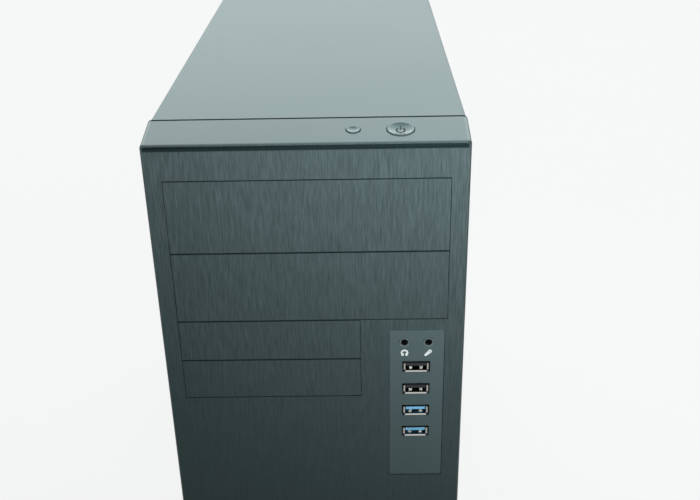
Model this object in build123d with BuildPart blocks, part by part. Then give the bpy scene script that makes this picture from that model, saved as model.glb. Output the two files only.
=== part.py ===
from build123d import *
import os

os.makedirs("parts", exist_ok=True)

# Desktop computer tower, millimetres. +X is right as seen from the front, the front faces -Y, +Z is up.
# The origin is on the floor, below the middle of the tower.

# Overall size
width = 169.4  # widest, at the back edge of the front moulding
height = 356.0  # floor to the top of the front moulding at its back edge
depth = 402.0  # front rim to the ends of the thumbscrews

# Sheet steel of the chassis
steel = 0.8
bend = 1.6  # outside radius of a fold
sheet_gap = 0.3  # room between neighbouring sheets
edge_fold = 9.0  # folded edge of the top and bottom panels
post_fold = 13.0  # folded edge of the front frame and the rear panel

# Front moulding
wall = 2.5
bezel_depth = 27.0  # brushed face to the seam with the steel
brow_drop = 4.8  # fall of the sloping top from the seam to the front
front_width = 169.0  # across the front edge, so the sides taper
rim_proud = 0.8  # rim in front of the brushed face
rim_top = 3.0
rim_side = 1.2
bezel_round = 2.6
bezel_corner = 3.2
seam_gap = 0.6
steel_drop = 0.4  # steel top below the moulding's top
rib_depth = 8.0
rib_thick = 1.5
rib_count = 3
rib_pitch = 30.0
rib_clear = 19.5  # upper rib below the connector strip's flange
clip_width = 10.0
clip_thick = 1.6
clip_reach = 5.0  # clip beyond the front frame
clip_back = 10.0  # root of a clip in front of the seam
clip_inset = 4.2  # clip inside the edge of the front frame
clip_drops = (60.0, 190.0, 300.0)  # clips below the front edge, on each side
intake_length = 18.0
intake_width = 5.0
intake_count = 6
intake_pitch = 23.0
frame_vent_height = 90.0  # middle of the front frame's vent above the foot of the chassis
frame_vent_count = 8
frame_vent_length = 70.0
window_room = 4.0  # front frame's window round the small drives

# Drive bays in the front
bay_rows = 2  # of each width
bay_drop = 19.5  # top of the upper bay below the front edge
wide_bay_width = 149.6
wide_bay_pitch = 42.0
small_bay_width = 101.4
small_bay_pitch = 25.4
bay_gap = 0.3  # hairline round a bay cover
cover_rib = 5.0
cover_rib_thick = 1.4
cover_rib_inset = 5.0
ledge_width = 2.4
ledge_thick = 2.0
ledge_tall = 6.0
arm_length = 13.0
arm_thick = 1.4
arm_tall = 10.0
hook_reach = 1.3
hook_gap = 0.2

# Connector strip in the front
strip_inset = 11.1  # strip's edge from the front's edge
strip_drop = 111.0  # top of the strip below the front edge
strip_width = 30.8
strip_height = 101.0
strip_gap = 0.25
strip_recess = 0.4
strip_flange = 2.5
strip_flange_thick = 1.5
strip_round = 0.6
socket_offset = 0.2  # sockets left of the strip's middle
socket_depth = 15.5  # strip face to the board behind it
usb_drop = 135.0
usb_pitch = 15.0
usb_count = 4
usb_plain_count = 2  # upper sockets with black tongues
usb_width = 13.1
usb_height = 5.7
usb_skin = 0.4
usb_lip_width = 15.2
usb_lip_height = 6.9
usb_lip_thick = 0.5
usb_room = 0.3
tongue_width = 11.3
tongue_thick = 2.0
tongue_raise = 1.0  # tongue's middle above the socket's middle
tongue_back = 0.9
finger_width = 1.7
finger_height = 0.5
finger_spread = 6.1
finger_back = 2.2
finger_length = 4.0
jack_drop = 118.8
jack_spread = 13.5
jack_bore = 1.8
jack_nose = 2.8
jack_body_width = 8.0
jack_body_height = 9.0
jack_bore_length = 13.0
jack_proud = 0.2
board = 1.6  # thickness of every circuit board
strip_board_width = 27.0
strip_board_margin = 4.0
post_radius = 2.6
upper_post_drop = 126.9
lower_post_drop = 196.0

# Round push buttons in the sloping top of the moulding
button_back = 14.2  # behind the front edge, along the slope
power_x = 48.8
power_radius = 7.1
reset_x = 24.3
reset_radius = 3.6
button_gap = 0.45
button_proud = 0.5
power_dish = 1.3
reset_dish = 0.6
dish_edge = 0.7
button_lip = 1.9  # retaining lip beyond the cap
button_lip_thick = 1.6
button_lip_gap = 0.2
button_travel = 1.5
collar_gap = 0.3
collar_thick = 1.5
collar_height = 6.0
stem_radius = 1.5
stem_gap = 0.08
stem_plunge = 4.0  # stem inside the switch at rest
stem_clear = 0.5  # room below a pressed stem
switch_size = 8.0
switch_height = 7.0
switch_chamfer = 0.3
switch_board_drop = 16.0  # top of the switch board below the sloping top
switch_board_width = 55.0
switch_board_depth = 18.0
switch_board_x = 38.0
switch_post_spread = 49.4

# Side panels and their thumbscrews
panel_inset = 0.3  # panel face inside the moulding's widest point
panel_margin = 2.5  # panel edge below the top and above the foot of the chassis
rail_gap = 0.4
rail_room = 0.8
rail_upstand = 4.5
rail_start = 16.0  # rail behind the panel's front edge
rear_fold = 13.0
thumb_head = 8.0
thumb_radius = 4.8
thumb_sides = 18
thumb_collar = 5.6
thumb_collar_thick = 1.4
thumb_shank = 1.75
thumb_shank_length = 5.0
thumb_inset = 5.6  # from the panel face
thumb_rise = 48.0  # lower thumbscrew above the foot of the chassis
thumb_drop = 56.0  # upper thumbscrew below the top
screw_room = 0.25
notch_room = 0.6
vent_hex = 4.2
vent_pitch = 11.0
cooler_vent_columns = 7
cooler_vent_rows = 6
card_vent_columns = 9
card_vent_rows = 4

# Feet
foot_height = 12.0
foot_radius = 18.0
foot_taper = 3.0
foot_inset_x = 24.0
foot_inset_y = 34.0
pad_radius = 12.0
pad_thick = 2.2
pad_proud = 1.0
pad_room = 0.1

# Drive cages and hard drive
drive_room = 0.4
wide_drive_width = 146.0
small_drive_width = 101.6
cage_clear = 7.2  # drive cages in front of the motherboard
shelf_half = 77.2
shelf_fold = 6.0
shelf_drop = 1.0
cage_slot_length = 22.0
cage_slot_width = 3.6
cage_slot_spread = 80.0
hard_drive_length = 147.0
hard_drive_height = 26.1
hard_drive_lift = 1.5
hard_drive_setback = 6.0
hard_drive_cast = 20.0
hard_drive_lid_inset = 2.0
hard_drive_round = 4.0
spindle_radius = 14.0
platter_raise = 0.8
drive_screw_spread = 100.0

# Motherboard, upright on its tray at the right
tray_inset = 6.5  # tray inside the chassis sheets
tray_foot = 4.5
tray_margin = 3.0  # tray beyond the motherboard's front edge
standoff = 6.5
standoff_radius = 3.0
board_depth = 190.0
board_supply_gap = 3.3  # motherboard's top edge below the power supply
board_rear_gap = 3.0
board_lift = 8.2
board_hole = 2.0
board_hole_rear = 33.0
board_hole_front = 10.0
board_hole_edge = 10.0
tray_window = 100.0
processor_back = 82.0  # from the board's rear edge
processor_drop = 70.0  # from the board's top edge
socket_size = 42.0
socket_height = 5.0
lid_size = 36.0
lid_height = 3.0
sink_size = 80.0
sink_base = 6.0
sink_height = 32.0
fin_count = 16
fin_thick = 1.4
memory_back = (150.0, 161.0)  # slots, from the board's rear edge
memory_drop = 75.0
memory_slot_length = 140.0
memory_slot_width = 6.6
memory_slot_height = 9.0
memory_length = 133.35
memory_height = 30.0
memory_thick = 1.3
memory_grip = 5.0
memory_fit = 0.1
chip_width = 9.0
chip_length = 12.0
chip_thick = 1.0
chip_count = 8
chip_pitch = 15.6
card_pitch = 20.32
card_margin = 3.9  # lowest card's middle above the board's lower edge, at least
card_first = 179.0  # upper expansion slot below the board's top edge
card_slot_lengths = (89.0, 25.0, 89.0)
card_slot_rear = 47.0
card_slot_width = 7.5
card_slot_height = 11.0
card_groove = 1.8
card_groove_depth = 8.0
card_slot_end = 2.0
main_plug_columns = 12
processor_plug_columns = 4
plug_rows = 2
plug_edge = 1.2
main_plug_height = 13.0
main_plug_back = 182.0
main_plug_drop = 69.0
pin_pitch = 4.2
pin_pocket = 3.4
pin_pocket_depth = 9.0
processor_plug_back = 130.0
processor_plug_drop = 10.0
data_plug_length = 15.0
data_plug_width = 6.0
data_plug_height = 9.0
data_plug_groove = 2.4
data_plug_groove_depth = 6.0
data_plug_back = 180.0
data_plug_first = 160.0
data_plug_pitch = 11.0
data_plug_count = 4
chipset_sink = 32.0
chipset_sink_height = 12.0
chipset_back = 154.0
chipset_drop = 176.0
regulator_length = 66.0
regulator_width = 13.0
regulator_height = 22.0
regulator_back = 33.0
regulator_drop = 67.0
small_fin_base = 4.0
small_fin_count = 7
regulator_fin_count = 3
capacitor_radius = 3.5
capacitor_height = 10.0
capacitor_pitch = 11.0
capacitor_columns = 3
capacitor_rows = 2
capacitor_back = 110.0
capacitor_drop = 130.0
cell_radius = 10.0
cell_thick = 3.2
cell_holder = 12.0
cell_holder_thick = 2.4
cell_back = 70.0
cell_drop = 155.0

# Rear ports on the motherboard
port_depth = 24.0
port_skin = 1.0
port_room = 0.4
port_pocket = 9.0
stack_width = 14.6
stack_height = 16.4
stack_pocket_width = 12.4
stack_pocket_height = 5.1
stack_spread = 7.8
stack_drops = (18.0, 38.0)
screen_plug_width = 15.6
screen_plug_height = 7.0
screen_plug_drop = 61.0
screen_tongue_width = 10.4
screen_tongue_thick = 1.2
monitor_plug_width = 30.8
monitor_plug_height = 12.6
monitor_plug_drop = 88.0
monitor_shell_width = 17.0
monitor_shell_height = 8.4
monitor_shell_slope = 1.4
monitor_shell_reach = 5.0
monitor_post = 2.4
monitor_post_spread = 25.0
network_width = 16.0
network_height = 14.0
network_pocket_width = 11.8
network_pocket_height = 8.4
network_drop = 117.0
sound_width = 13.6
sound_height = 36.0
sound_pitch = 11.6
sound_count = 3
sound_bore = 1.85
sound_nose = 10.0
sound_drop = 140.0
aperture_width = 44.45
aperture_height = 158.75
aperture_drop = 6.3  # below the board's top edge
aperture_below = 2.0  # past the board's face, towards the tray
shield = 0.5
shield_overlap = 2.2

# Expansion slot covers
slot_cover_width = 18.4
slot_cover_left = -58.0
slot_cover_right = 62.0
slot_window_left = -46.0
slot_window_width = 12.7
slot_screw_x = -52.0

# Screws
screw_head = 3.1
screw_head_thick = 2.0
screw_shank = 1.5
screw_bite = 0.05
screw_grip = 5.0

# Fans: a square frame's size, its bore radius, the hub's radius and the spacing of the corner holes
fan_depth = 25.0
fan_flange = 4.0
fan_corner = 6.0
fan_hole = 2.2
fan_wall = 0.8
fan_running_gap = 1.0
fan_strut = 4.0
fan_strut_thick = 3.0
fan_struts = 4
fan_bearing = 4.0
fan_shaft = 1.5
fan_shaft_gap = 0.05
fan_cup = 1.8
fan_nose = 1.5
fan_bearing_short = 8.0
fan_blades = 7
blade_thick = 1.5
blade_root_chord = 20.0
blade_tip_chord = 25.0
blade_root_pitch = 46.0
blade_tip_pitch = 30.0
blade_sink = 1.0
blade_over = 2.0  # blade beyond the bore before its tip is trimmed round
rear_fan_size = 80.0
rear_fan_bore = 38.4
rear_fan_hub = 16.0
rear_fan_holes = 71.5
rear_fan_clear = 8.0  # fan beside the shield of the rear ports
rear_fan_below = 23.0  # fan below the power supply
cooler_fan_size = 80.0
cooler_fan_bore = 38.4
cooler_fan_hub = 16.0
cooler_fan_holes = 71.5
supply_fan_size = 120.0
supply_fan_bore = 57.6
supply_fan_hub = 21.0
supply_fan_holes = 105.0
guard_thick = 1.2
guard_ring = 2.0
guard_rings = 4
guard_spoke = 3.0
guard_lug = 4.5
guard_centre = 12.0

# Power supply
supply_width = 150.0
supply_height = 86.0
supply_length = 140.0
supply_sheet = 1.0
supply_roof_gap = 0.5
supply_window_width = 138.0
supply_window_height = 64.0
supply_screw_x = 63.0
supply_screw_z = 37.5
comb_hex = 4.0
comb_pitch = 10.0
comb_columns = 9
comb_rows = 6
comb_x = -20.0
comb_window_width = 92.0
comb_window_height = 56.0
comb_overlap = 2.5  # grille behind the edge of its window
inlet_x = 52.0
inlet_z = 14.0
inlet_width = 27.0
inlet_height = 19.6
inlet_depth = 18.0
inlet_flange_width = 31.0
inlet_flange_height = 23.0
inlet_flange_thick = 1.6
inlet_mouth_width = 24.0
inlet_mouth_height = 16.6
inlet_mouth_depth = 16.0
inlet_corner = 4.0
inlet_round = 2.0
blade_pin_width = 2.0
blade_pin_height = 4.0
blade_pin_length = 13.0
blade_pin_spread = 14.0
blade_pin_raise = 2.0
rocker_x = 52.0
rocker_z = -9.0
rocker_frame_width = 23.0
rocker_frame_height = 15.0
rocker_frame_thick = 1.6
rocker_sleeve_width = 19.2
rocker_sleeve_height = 12.8
rocker_sleeve_depth = 12.0
rocker_skin = 1.2
rocker_room = 0.4
rocker_length = 15.2
rocker_valley = 4.0  # hollow of the rocker above its pivot
rocker_rise = 1.6
rocker_taper = 2.0
rocker_deep = 5.0
rocker_tilt = 8.0
rocker_pivot = 1.5
rocker_pivot_gap = 0.06
rocker_pivot_deep = 3.6
rocker_pivot_reach = 0.7
supply_board_length = 118.0
supply_board_width = 136.0
supply_board_drop = 6.0
supply_boss = 3.5
supply_boss_spread_x = 118.0
supply_boss_spread_y = 98.0
supply_outlet = 9.0
supply_outlet_x = -45.0
coil_size = 34.0
coil_height = 28.0
cooler_plate = 3.0
cooler_plate_height = 34.0
cooler_plate_length = 96.0
cooler_plate_spread = 60.0
reservoir_radius = 11.0
reservoir_height = 32.0
reservoir_x = -50.0
reservoir_spread = 50.0

# Places worked out from the sizes above
front_y = -depth / 2
face_y = front_y + rim_proud
wall_back_y = face_y + wall
seam_y = face_y + bezel_depth
chassis_y = seam_y + seam_gap
rear_y = depth / 2 - thumb_head - steel
rear_in_y = rear_y - steel
frame_back_y = chassis_y + steel + sheet_gap
base_z = foot_height
floor_z = base_z + steel
steel_top = height - steel_drop
roof_z = steel_top - steel
half = width / 2
front_half = front_width / 2
panel_half = half - panel_inset
panel_in = panel_half - steel
steel_half = panel_in - sheet_gap
sheet_half = steel_half - steel - sheet_gap
sheet_z = floor_z + sheet_gap
sheet_height = roof_z - sheet_gap - sheet_z
chassis_length = rear_y - 2 * sheet_gap - chassis_y
thumb_x = panel_half - thumb_inset
thumb_heights = (base_z + thumb_rise, height - thumb_drop)
rail_tip_top = steel_top - edge_fold - rail_gap
rail_tip_base = base_z + edge_fold + rail_gap
rail_out = steel_half - steel - rail_room
rail_in = rail_out - steel
panel_low = base_z + panel_margin
panel_high = steel_top - panel_margin

front_top = height - brow_drop
brow_run = seam_y - front_y
brow_length = (brow_run**2 + brow_drop**2) ** 0.5
brow_wall = wall * brow_length / brow_run  # upright thickness of the sloping wall
brow_normal = (0, -brow_drop / brow_length, brow_run / brow_length)
brow = Plane(origin=(0, front_y, front_top), x_dir=(1, 0, 0), z_dir=brow_normal)
brow_axis = Axis((0, 0, 0), brow_normal)
brow_span = width + front_width

bay_top = front_top - bay_drop
wide_half = wide_bay_width / 2
wide_bottom = bay_top - bay_rows * wide_bay_pitch
small_left = -wide_half
small_right = small_left + small_bay_width
small_x = (small_left + small_right) / 2
small_bottom = wide_bottom - bay_rows * small_bay_pitch
strip_centre_x = front_half - strip_inset - strip_width / 2
strip_z = front_top - strip_drop - strip_height / 2
socket_x = strip_centre_x - socket_offset
rib_top_z = front_top - strip_drop - strip_height - strip_flange - rib_clear
strip_y = face_y + strip_recess
strip_back_y = wall_back_y + strip_flange_thick
strip_board_y = strip_y + socket_depth

shelf_z = wide_bottom - shelf_drop
wide_wall_half = wide_drive_width / 2 + drive_room
small_wall_half = small_drive_width / 2 + drive_room
hard_drive_bay = small_bay_pitch + hard_drive_lift
small_floor = small_bottom - hard_drive_bay - steel
hard_drive_z = small_floor + steel + hard_drive_lift
hard_drive_y = frame_back_y + hard_drive_setback + hard_drive_length / 2

supply_top = roof_z - supply_roof_gap
supply_bottom = supply_top - supply_height
supply_z = (supply_top + supply_bottom) / 2
supply_rear = rear_in_y
supply_front = supply_rear - supply_length
supply_y = (supply_rear + supply_front) / 2
inlet_centre_z = supply_z + inlet_z
rocker_centre_z = supply_z + rocker_z
pivot_y = rear_in_y - rocker_pivot_deep

tray_x = sheet_half - tray_inset
board_back_x = tray_x - standoff
board_x = board_back_x - board
board_rear = rear_in_y - board_rear_gap
board_front = board_rear - board_depth
board_base = floor_z + board_lift
board_top = supply_bottom - board_supply_gap
board_height = board_top - board_base
tray_top = board_top + sheet_gap
tray_front_y = board_front - tray_margin
hole_y = (board_rear - board_hole_rear, board_front + board_hole_front)
hole_z = (board_base + board_hole_edge, board_base + board_height / 2, board_top - board_hole_edge)
processor_y = board_rear - processor_back
processor_z = board_top - processor_drop
sink_x = board_x - socket_height - lid_height
sink_face_x = sink_x - sink_height
aperture_right = board_x + aperture_below
aperture_x = aperture_right - aperture_width / 2
aperture_z = board_top - aperture_drop - aperture_height / 2
shield_y = rear_in_y - shield
card_count = int((board_height - card_first - card_margin) / card_pitch) + 1
card_heights = [board_top - card_first - n * card_pitch for n in range(card_count)]
cage_depth = board_front - cage_clear - frame_back_y
rear_fan_x = aperture_x - aperture_width / 2 - shield_overlap - rear_fan_clear - rear_fan_size / 2
rear_fan_height = supply_bottom - rear_fan_below - rear_fan_size / 2


def facing(y):
    """Upright plane across the tower: x to the right, y up, normal to the front."""
    return Plane(origin=(0, y, 0), x_dir=(1, 0, 0), z_dir=(0, -1, 0))


def beside(x):
    """Upright plane along the tower: x to the rear, y up, normal to the right."""
    return Plane(origin=(x, 0, 0), x_dir=(0, 1, 0), z_dir=(1, 0, 0))


def write(piece, name):
    """Label a finished piece and store it."""
    piece.part.label = name
    export_step(piece.part, f"parts/{name}.step")


def channel(plane, half_width, fold, thick):
    """Section of a folded sheet: a web along the plane's x axis with both edges folded towards y."""
    inner = half_width - thick
    with BuildSketch(plane) as section:
        with BuildLine():
            outside = FilletPolyline(
                (-half_width, fold), (-half_width, 0), (half_width, 0), (half_width, fold), radius=bend
            )
            inside = FilletPolyline(
                (inner, fold), (inner, thick), (-inner, thick), (-inner, fold), radius=bend - thick
            )
            Line(outside @ 1, inside @ 0)
            Line(inside @ 1, outside @ 0)
        make_face()
    return section.sketch


def angle_sheet(plane, start, corner, end, thick_start, thick_corner, thick_end):
    """Section of a sheet with one fold, from its outer and its inner line."""
    with BuildSketch(plane) as section:
        with BuildLine():
            outside = FilletPolyline(start, corner, end, radius=bend)
            inside = FilletPolyline(thick_end, thick_corner, thick_start, radius=bend - steel)
            Line(outside @ 1, inside @ 0)
            Line(inside @ 1, outside @ 0)
        make_face()
    return section.sketch


def bay_cover(centre_x, centre_z, bay_width, bay_height):
    """Blanking cover of a drive bay: a plate, a stiffening rib and a hooked arm at each end."""
    cover_width = bay_width - 2 * bay_gap
    cover_height = bay_height - bay_gap
    rib_width = cover_width - 2 * cover_rib_inset
    rib_height = cover_height - 2 * cover_rib_inset
    rib_walls = 2 * cover_rib_thick
    hook_y = wall_back_y + hook_gap
    arm_end = wall_back_y + arm_length
    with BuildPart() as cover:
        with BuildSketch(facing(face_y)):
            with Locations((centre_x, centre_z)):
                Rectangle(cover_width, cover_height)
        extrude(amount=-wall)
        with BuildSketch(facing(wall_back_y)):
            with Locations((centre_x, centre_z)):
                Rectangle(rib_width, rib_height)
                Rectangle(rib_width - rib_walls, rib_height - rib_walls, mode=Mode.SUBTRACT)
        extrude(amount=-cover_rib)
        for side in (-1, 1):
            outer = centre_x + side * cover_width / 2
            inner = outer - side * arm_thick
            tip = outer + side * (bay_gap + hook_reach)
            with BuildSketch(Plane.XY.offset(centre_z - arm_tall / 2)):
                with BuildLine():
                    Polyline(
                        (outer, wall_back_y),
                        (outer, hook_y),
                        (tip, hook_y),
                        (outer, arm_end),
                        (inner, arm_end),
                        (inner, wall_back_y),
                        close=True,
                    )
                make_face()
            extrude(amount=arm_tall)
    return cover


def push_button(x, radius, dish):
    """Round cap with a hollowed top, a retaining lip under the moulding and a stem into its switch."""
    lip_top = -wall - button_lip_gap
    stem_end = switch_height - stem_plunge - switch_board_drop
    dish_radius = radius - dish_edge
    ball = (dish_radius**2 + dish**2) / (2 * dish)
    with BuildPart() as button:
        with BuildSketch(brow.offset(lip_top)):
            with Locations((x, button_back)):
                Circle(radius)
        extrude(amount=button_proud - lip_top)
        fillet(button.edges().group_by(brow_axis)[-1], dish_edge / 2)
        with Locations(brow.from_local_coords((x, button_back, button_proud - dish + ball))):
            Sphere(ball, mode=Mode.SUBTRACT)
        with BuildSketch(brow.offset(lip_top - button_lip_thick)):
            with Locations((x, button_back)):
                Circle(radius + button_lip)
        extrude(amount=button_lip_thick)
        with BuildSketch(brow.offset(stem_end)):
            with Locations((x, button_back)):
                Circle(stem_radius)
        extrude(amount=lip_top - stem_end)
    return button


def fan_frame(plane, size, bore, hub, holes):
    """Square fan frame: two flanges, a duct ring, four struts and the bearing tube."""
    with BuildPart() as frame:
        for level in (0, fan_depth - fan_flange):
            with BuildSketch(plane.offset(level)):
                RectangleRounded(size, size, fan_corner)
                Circle(bore, mode=Mode.SUBTRACT)
                with GridLocations(holes, holes, 2, 2):
                    Circle(fan_hole, mode=Mode.SUBTRACT)
            extrude(amount=fan_flange)
        with BuildSketch(plane):
            Circle((size - fan_wall) / 2)
            Circle(bore, mode=Mode.SUBTRACT)
        extrude(amount=fan_depth)
        with BuildSketch(plane):
            Circle(hub)
            with PolarLocations((hub + bore) / 2, fan_struts, start_angle=180 / fan_struts):
                Rectangle(bore - hub + fan_wall, fan_strut)
            Circle(fan_bearing, mode=Mode.SUBTRACT)
        extrude(amount=fan_strut_thick)
        with BuildSketch(plane):
            Circle(fan_bearing)
            Circle(fan_shaft + fan_shaft_gap, mode=Mode.SUBTRACT)
        extrude(amount=fan_depth - fan_bearing_short)
    return frame


def fan_rotor(plane, bore, hub):
    """Fan rotor: a hub cup on a shaft, with twisted blades whose tips are trimmed round."""
    cup_low = fan_strut_thick + fan_running_gap
    cup_high = fan_depth - fan_nose
    stations = (
        (hub - blade_sink, blade_root_chord, blade_root_pitch),
        (bore + blade_over, blade_tip_chord, blade_tip_pitch),
    )
    with BuildPart() as rotor:
        with BuildSketch(plane.offset(cup_low)):
            Circle(hub)
        extrude(amount=cup_high - cup_low)
        with BuildSketch(plane.offset(cup_low)):
            Circle(hub - fan_cup)
        extrude(amount=cup_high - cup_low - fan_cup, mode=Mode.SUBTRACT)
        with BuildSketch(plane.offset(cup_low)):
            Circle(fan_shaft)
        extrude(amount=cup_high - cup_low)
        for blade in range(fan_blades):
            outward = plane.x_dir.rotate(Axis((0, 0, 0), plane.z_dir), blade * 360 / fan_blades)
            middle = plane.origin + plane.z_dir * ((cup_low + cup_high) / 2)
            for radius, chord, pitch in stations:
                station = Plane(
                    origin=middle + outward * radius, x_dir=plane.z_dir.cross(outward), z_dir=outward
                )
                with BuildSketch(station):
                    Rectangle(chord, blade_thick, rotation=pitch)
            loft(ruled=True)
        with BuildSketch(plane):
            Circle(bore - fan_running_gap)
        extrude(amount=fan_depth, mode=Mode.INTERSECT)
    return rotor


def fan_guards(guards):
    """Pressed fan guards: flat rings on a cross, with a lug at each corner screw."""
    with BuildPart() as group:
        for plane, bore, holes in guards:
            step = (bore - guard_centre) / guard_rings
            with BuildSketch(plane):
                for ring in range(guard_rings, 0, -1):
                    outer = guard_centre + ring * step
                    Circle(outer)
                    Circle(outer - guard_ring, mode=Mode.SUBTRACT)
                Circle(guard_centre)
                for angle in (45, 135):
                    Rectangle(holes * 2**0.5, guard_spoke, rotation=angle)
                with GridLocations(holes, holes, 2, 2):
                    Circle(guard_lug)
                    Circle(screw_shank + screw_room, mode=Mode.SUBTRACT)
            extrude(amount=guard_thick)
    return group


def screws(seats):
    """Pan-head screws, one on each plane with its own shank length; the head is on the plane's outer side."""
    with BuildPart() as group:
        for seat, length in seats:
            with BuildSketch(seat):
                Circle(screw_head)
            extrude(amount=screw_head_thick)
            with BuildSketch(seat):
                Circle(screw_shank)
            extrude(amount=-length)
    return group


def side_panel(side, vented):
    """Side panel: a sheet with a folded rear edge and a hooked rail along its top and its foot."""
    face = side * panel_half
    inner = side * panel_in
    back = rear_y + steel
    tab = face - side * rear_fold
    rail_y = chassis_y + rail_start
    with BuildPart() as panel:
        ground = Plane.XY.offset(panel_low)
        outline = angle_sheet(
            ground,
            (face, chassis_y),
            (face, back),
            (tab, back),
            (inner, chassis_y),
            (inner, rear_y),
            (tab, rear_y),
        )
        extrude(outline, amount=panel_high - panel_low)
        with BuildSketch(facing(back)):
            with Locations(*[(side * thumb_x, z) for z in thumb_heights]):
                Circle(thumb_shank + screw_room)
        extrude(amount=steel, mode=Mode.SUBTRACT)
        if vented:
            with BuildSketch(beside(min(face, inner))):
                with Locations((processor_y, processor_z)):
                    with HexLocations(vent_pitch / 2, cooler_vent_columns, cooler_vent_rows):
                        RegularPolygon(vent_hex, 6, rotation=30)
                with Locations((processor_y, (card_heights[0] + card_heights[-1]) / 2)):
                    with HexLocations(vent_pitch / 2, card_vent_columns, card_vent_rows):
                        RegularPolygon(vent_hex, 6, rotation=30)
            extrude(amount=steel, mode=Mode.SUBTRACT)
        for tip, up in ((rail_tip_top, 1), (rail_tip_base, -1)):
            with BuildSketch(facing(rail_y)):
                with BuildLine():
                    Polyline(
                        (inner, tip),
                        (inner, tip - up * steel),
                        (side * rail_in, tip - up * steel),
                        (side * rail_in, tip + up * rail_upstand),
                        (side * rail_out, tip + up * rail_upstand),
                        (side * rail_out, tip),
                        close=True,
                    )
                make_face()
            extrude(amount=rail_y - (rear_y - rail_gap))
    return panel


def thumbscrews(side):
    """Two thumbscrews in a side panel's rear edge."""
    head_y = rear_y + steel
    places = [(side * thumb_x, z) for z in thumb_heights]
    with BuildPart() as pair:
        with BuildSketch(facing(head_y)):
            with Locations(*places):
                Circle(thumb_collar)
        extrude(amount=-thumb_collar_thick)
        with BuildSketch(facing(head_y)):
            with Locations(*places):
                RegularPolygon(thumb_radius, thumb_sides)
        extrude(amount=-thumb_head)
        with BuildSketch(facing(head_y)):
            with Locations(*places):
                Circle(thumb_shank)
        extrude(amount=thumb_shank_length)
    return pair


def finned(y, z, size_y, size_z, tall, fins):
    """Section, seen from above, of a small finned heatsink on the motherboard."""
    with BuildSketch(Plane.XY.offset(z - size_z / 2)) as section:
        with Locations((board_x - small_fin_base / 2, y)):
            Rectangle(small_fin_base, size_y)
        with Locations((board_x - (small_fin_base + tall) / 2, y)):
            with GridLocations(0, (size_y - fin_thick) / (fins - 1), 1, fins):
                Rectangle(tall - small_fin_base, fin_thick)
    return section.sketch


# Front moulding: a tapered shell with a sloping top, open at the back, with the brushed face set behind a rim
buttons = ((power_x, power_radius), (reset_x, reset_radius))
wide_heights = [bay_top - (n + 0.5) * wide_bay_pitch for n in range(bay_rows)]
small_heights = [wide_bottom - (n + 0.5) * small_bay_pitch for n in range(bay_rows)]
wide_rows = [(0, z, wide_bay_width, wide_bay_pitch) for z in wide_heights]
small_rows = [(small_x, z, small_bay_width, small_bay_pitch) for z in small_heights]
with BuildPart() as hollow:
    with BuildSketch(Plane.XY.offset(base_z + wall)):
        with BuildLine():
            Polyline(
                (-half + wall, seam_y),
                (-front_half + wall, wall_back_y),
                (front_half - wall, wall_back_y),
                (half - wall, seam_y),
                close=True,
            )
        make_face()
    extrude(amount=height - base_z - wall)
    with BuildSketch(beside(-brow_span / 2)):
        with BuildLine():
            Polyline(
                (front_y, front_top - brow_wall),
                (seam_y, height - brow_wall),
                (seam_y, height),
                (front_y, height),
                close=True,
            )
        make_face()
    extrude(amount=brow_span, mode=Mode.SUBTRACT)
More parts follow.
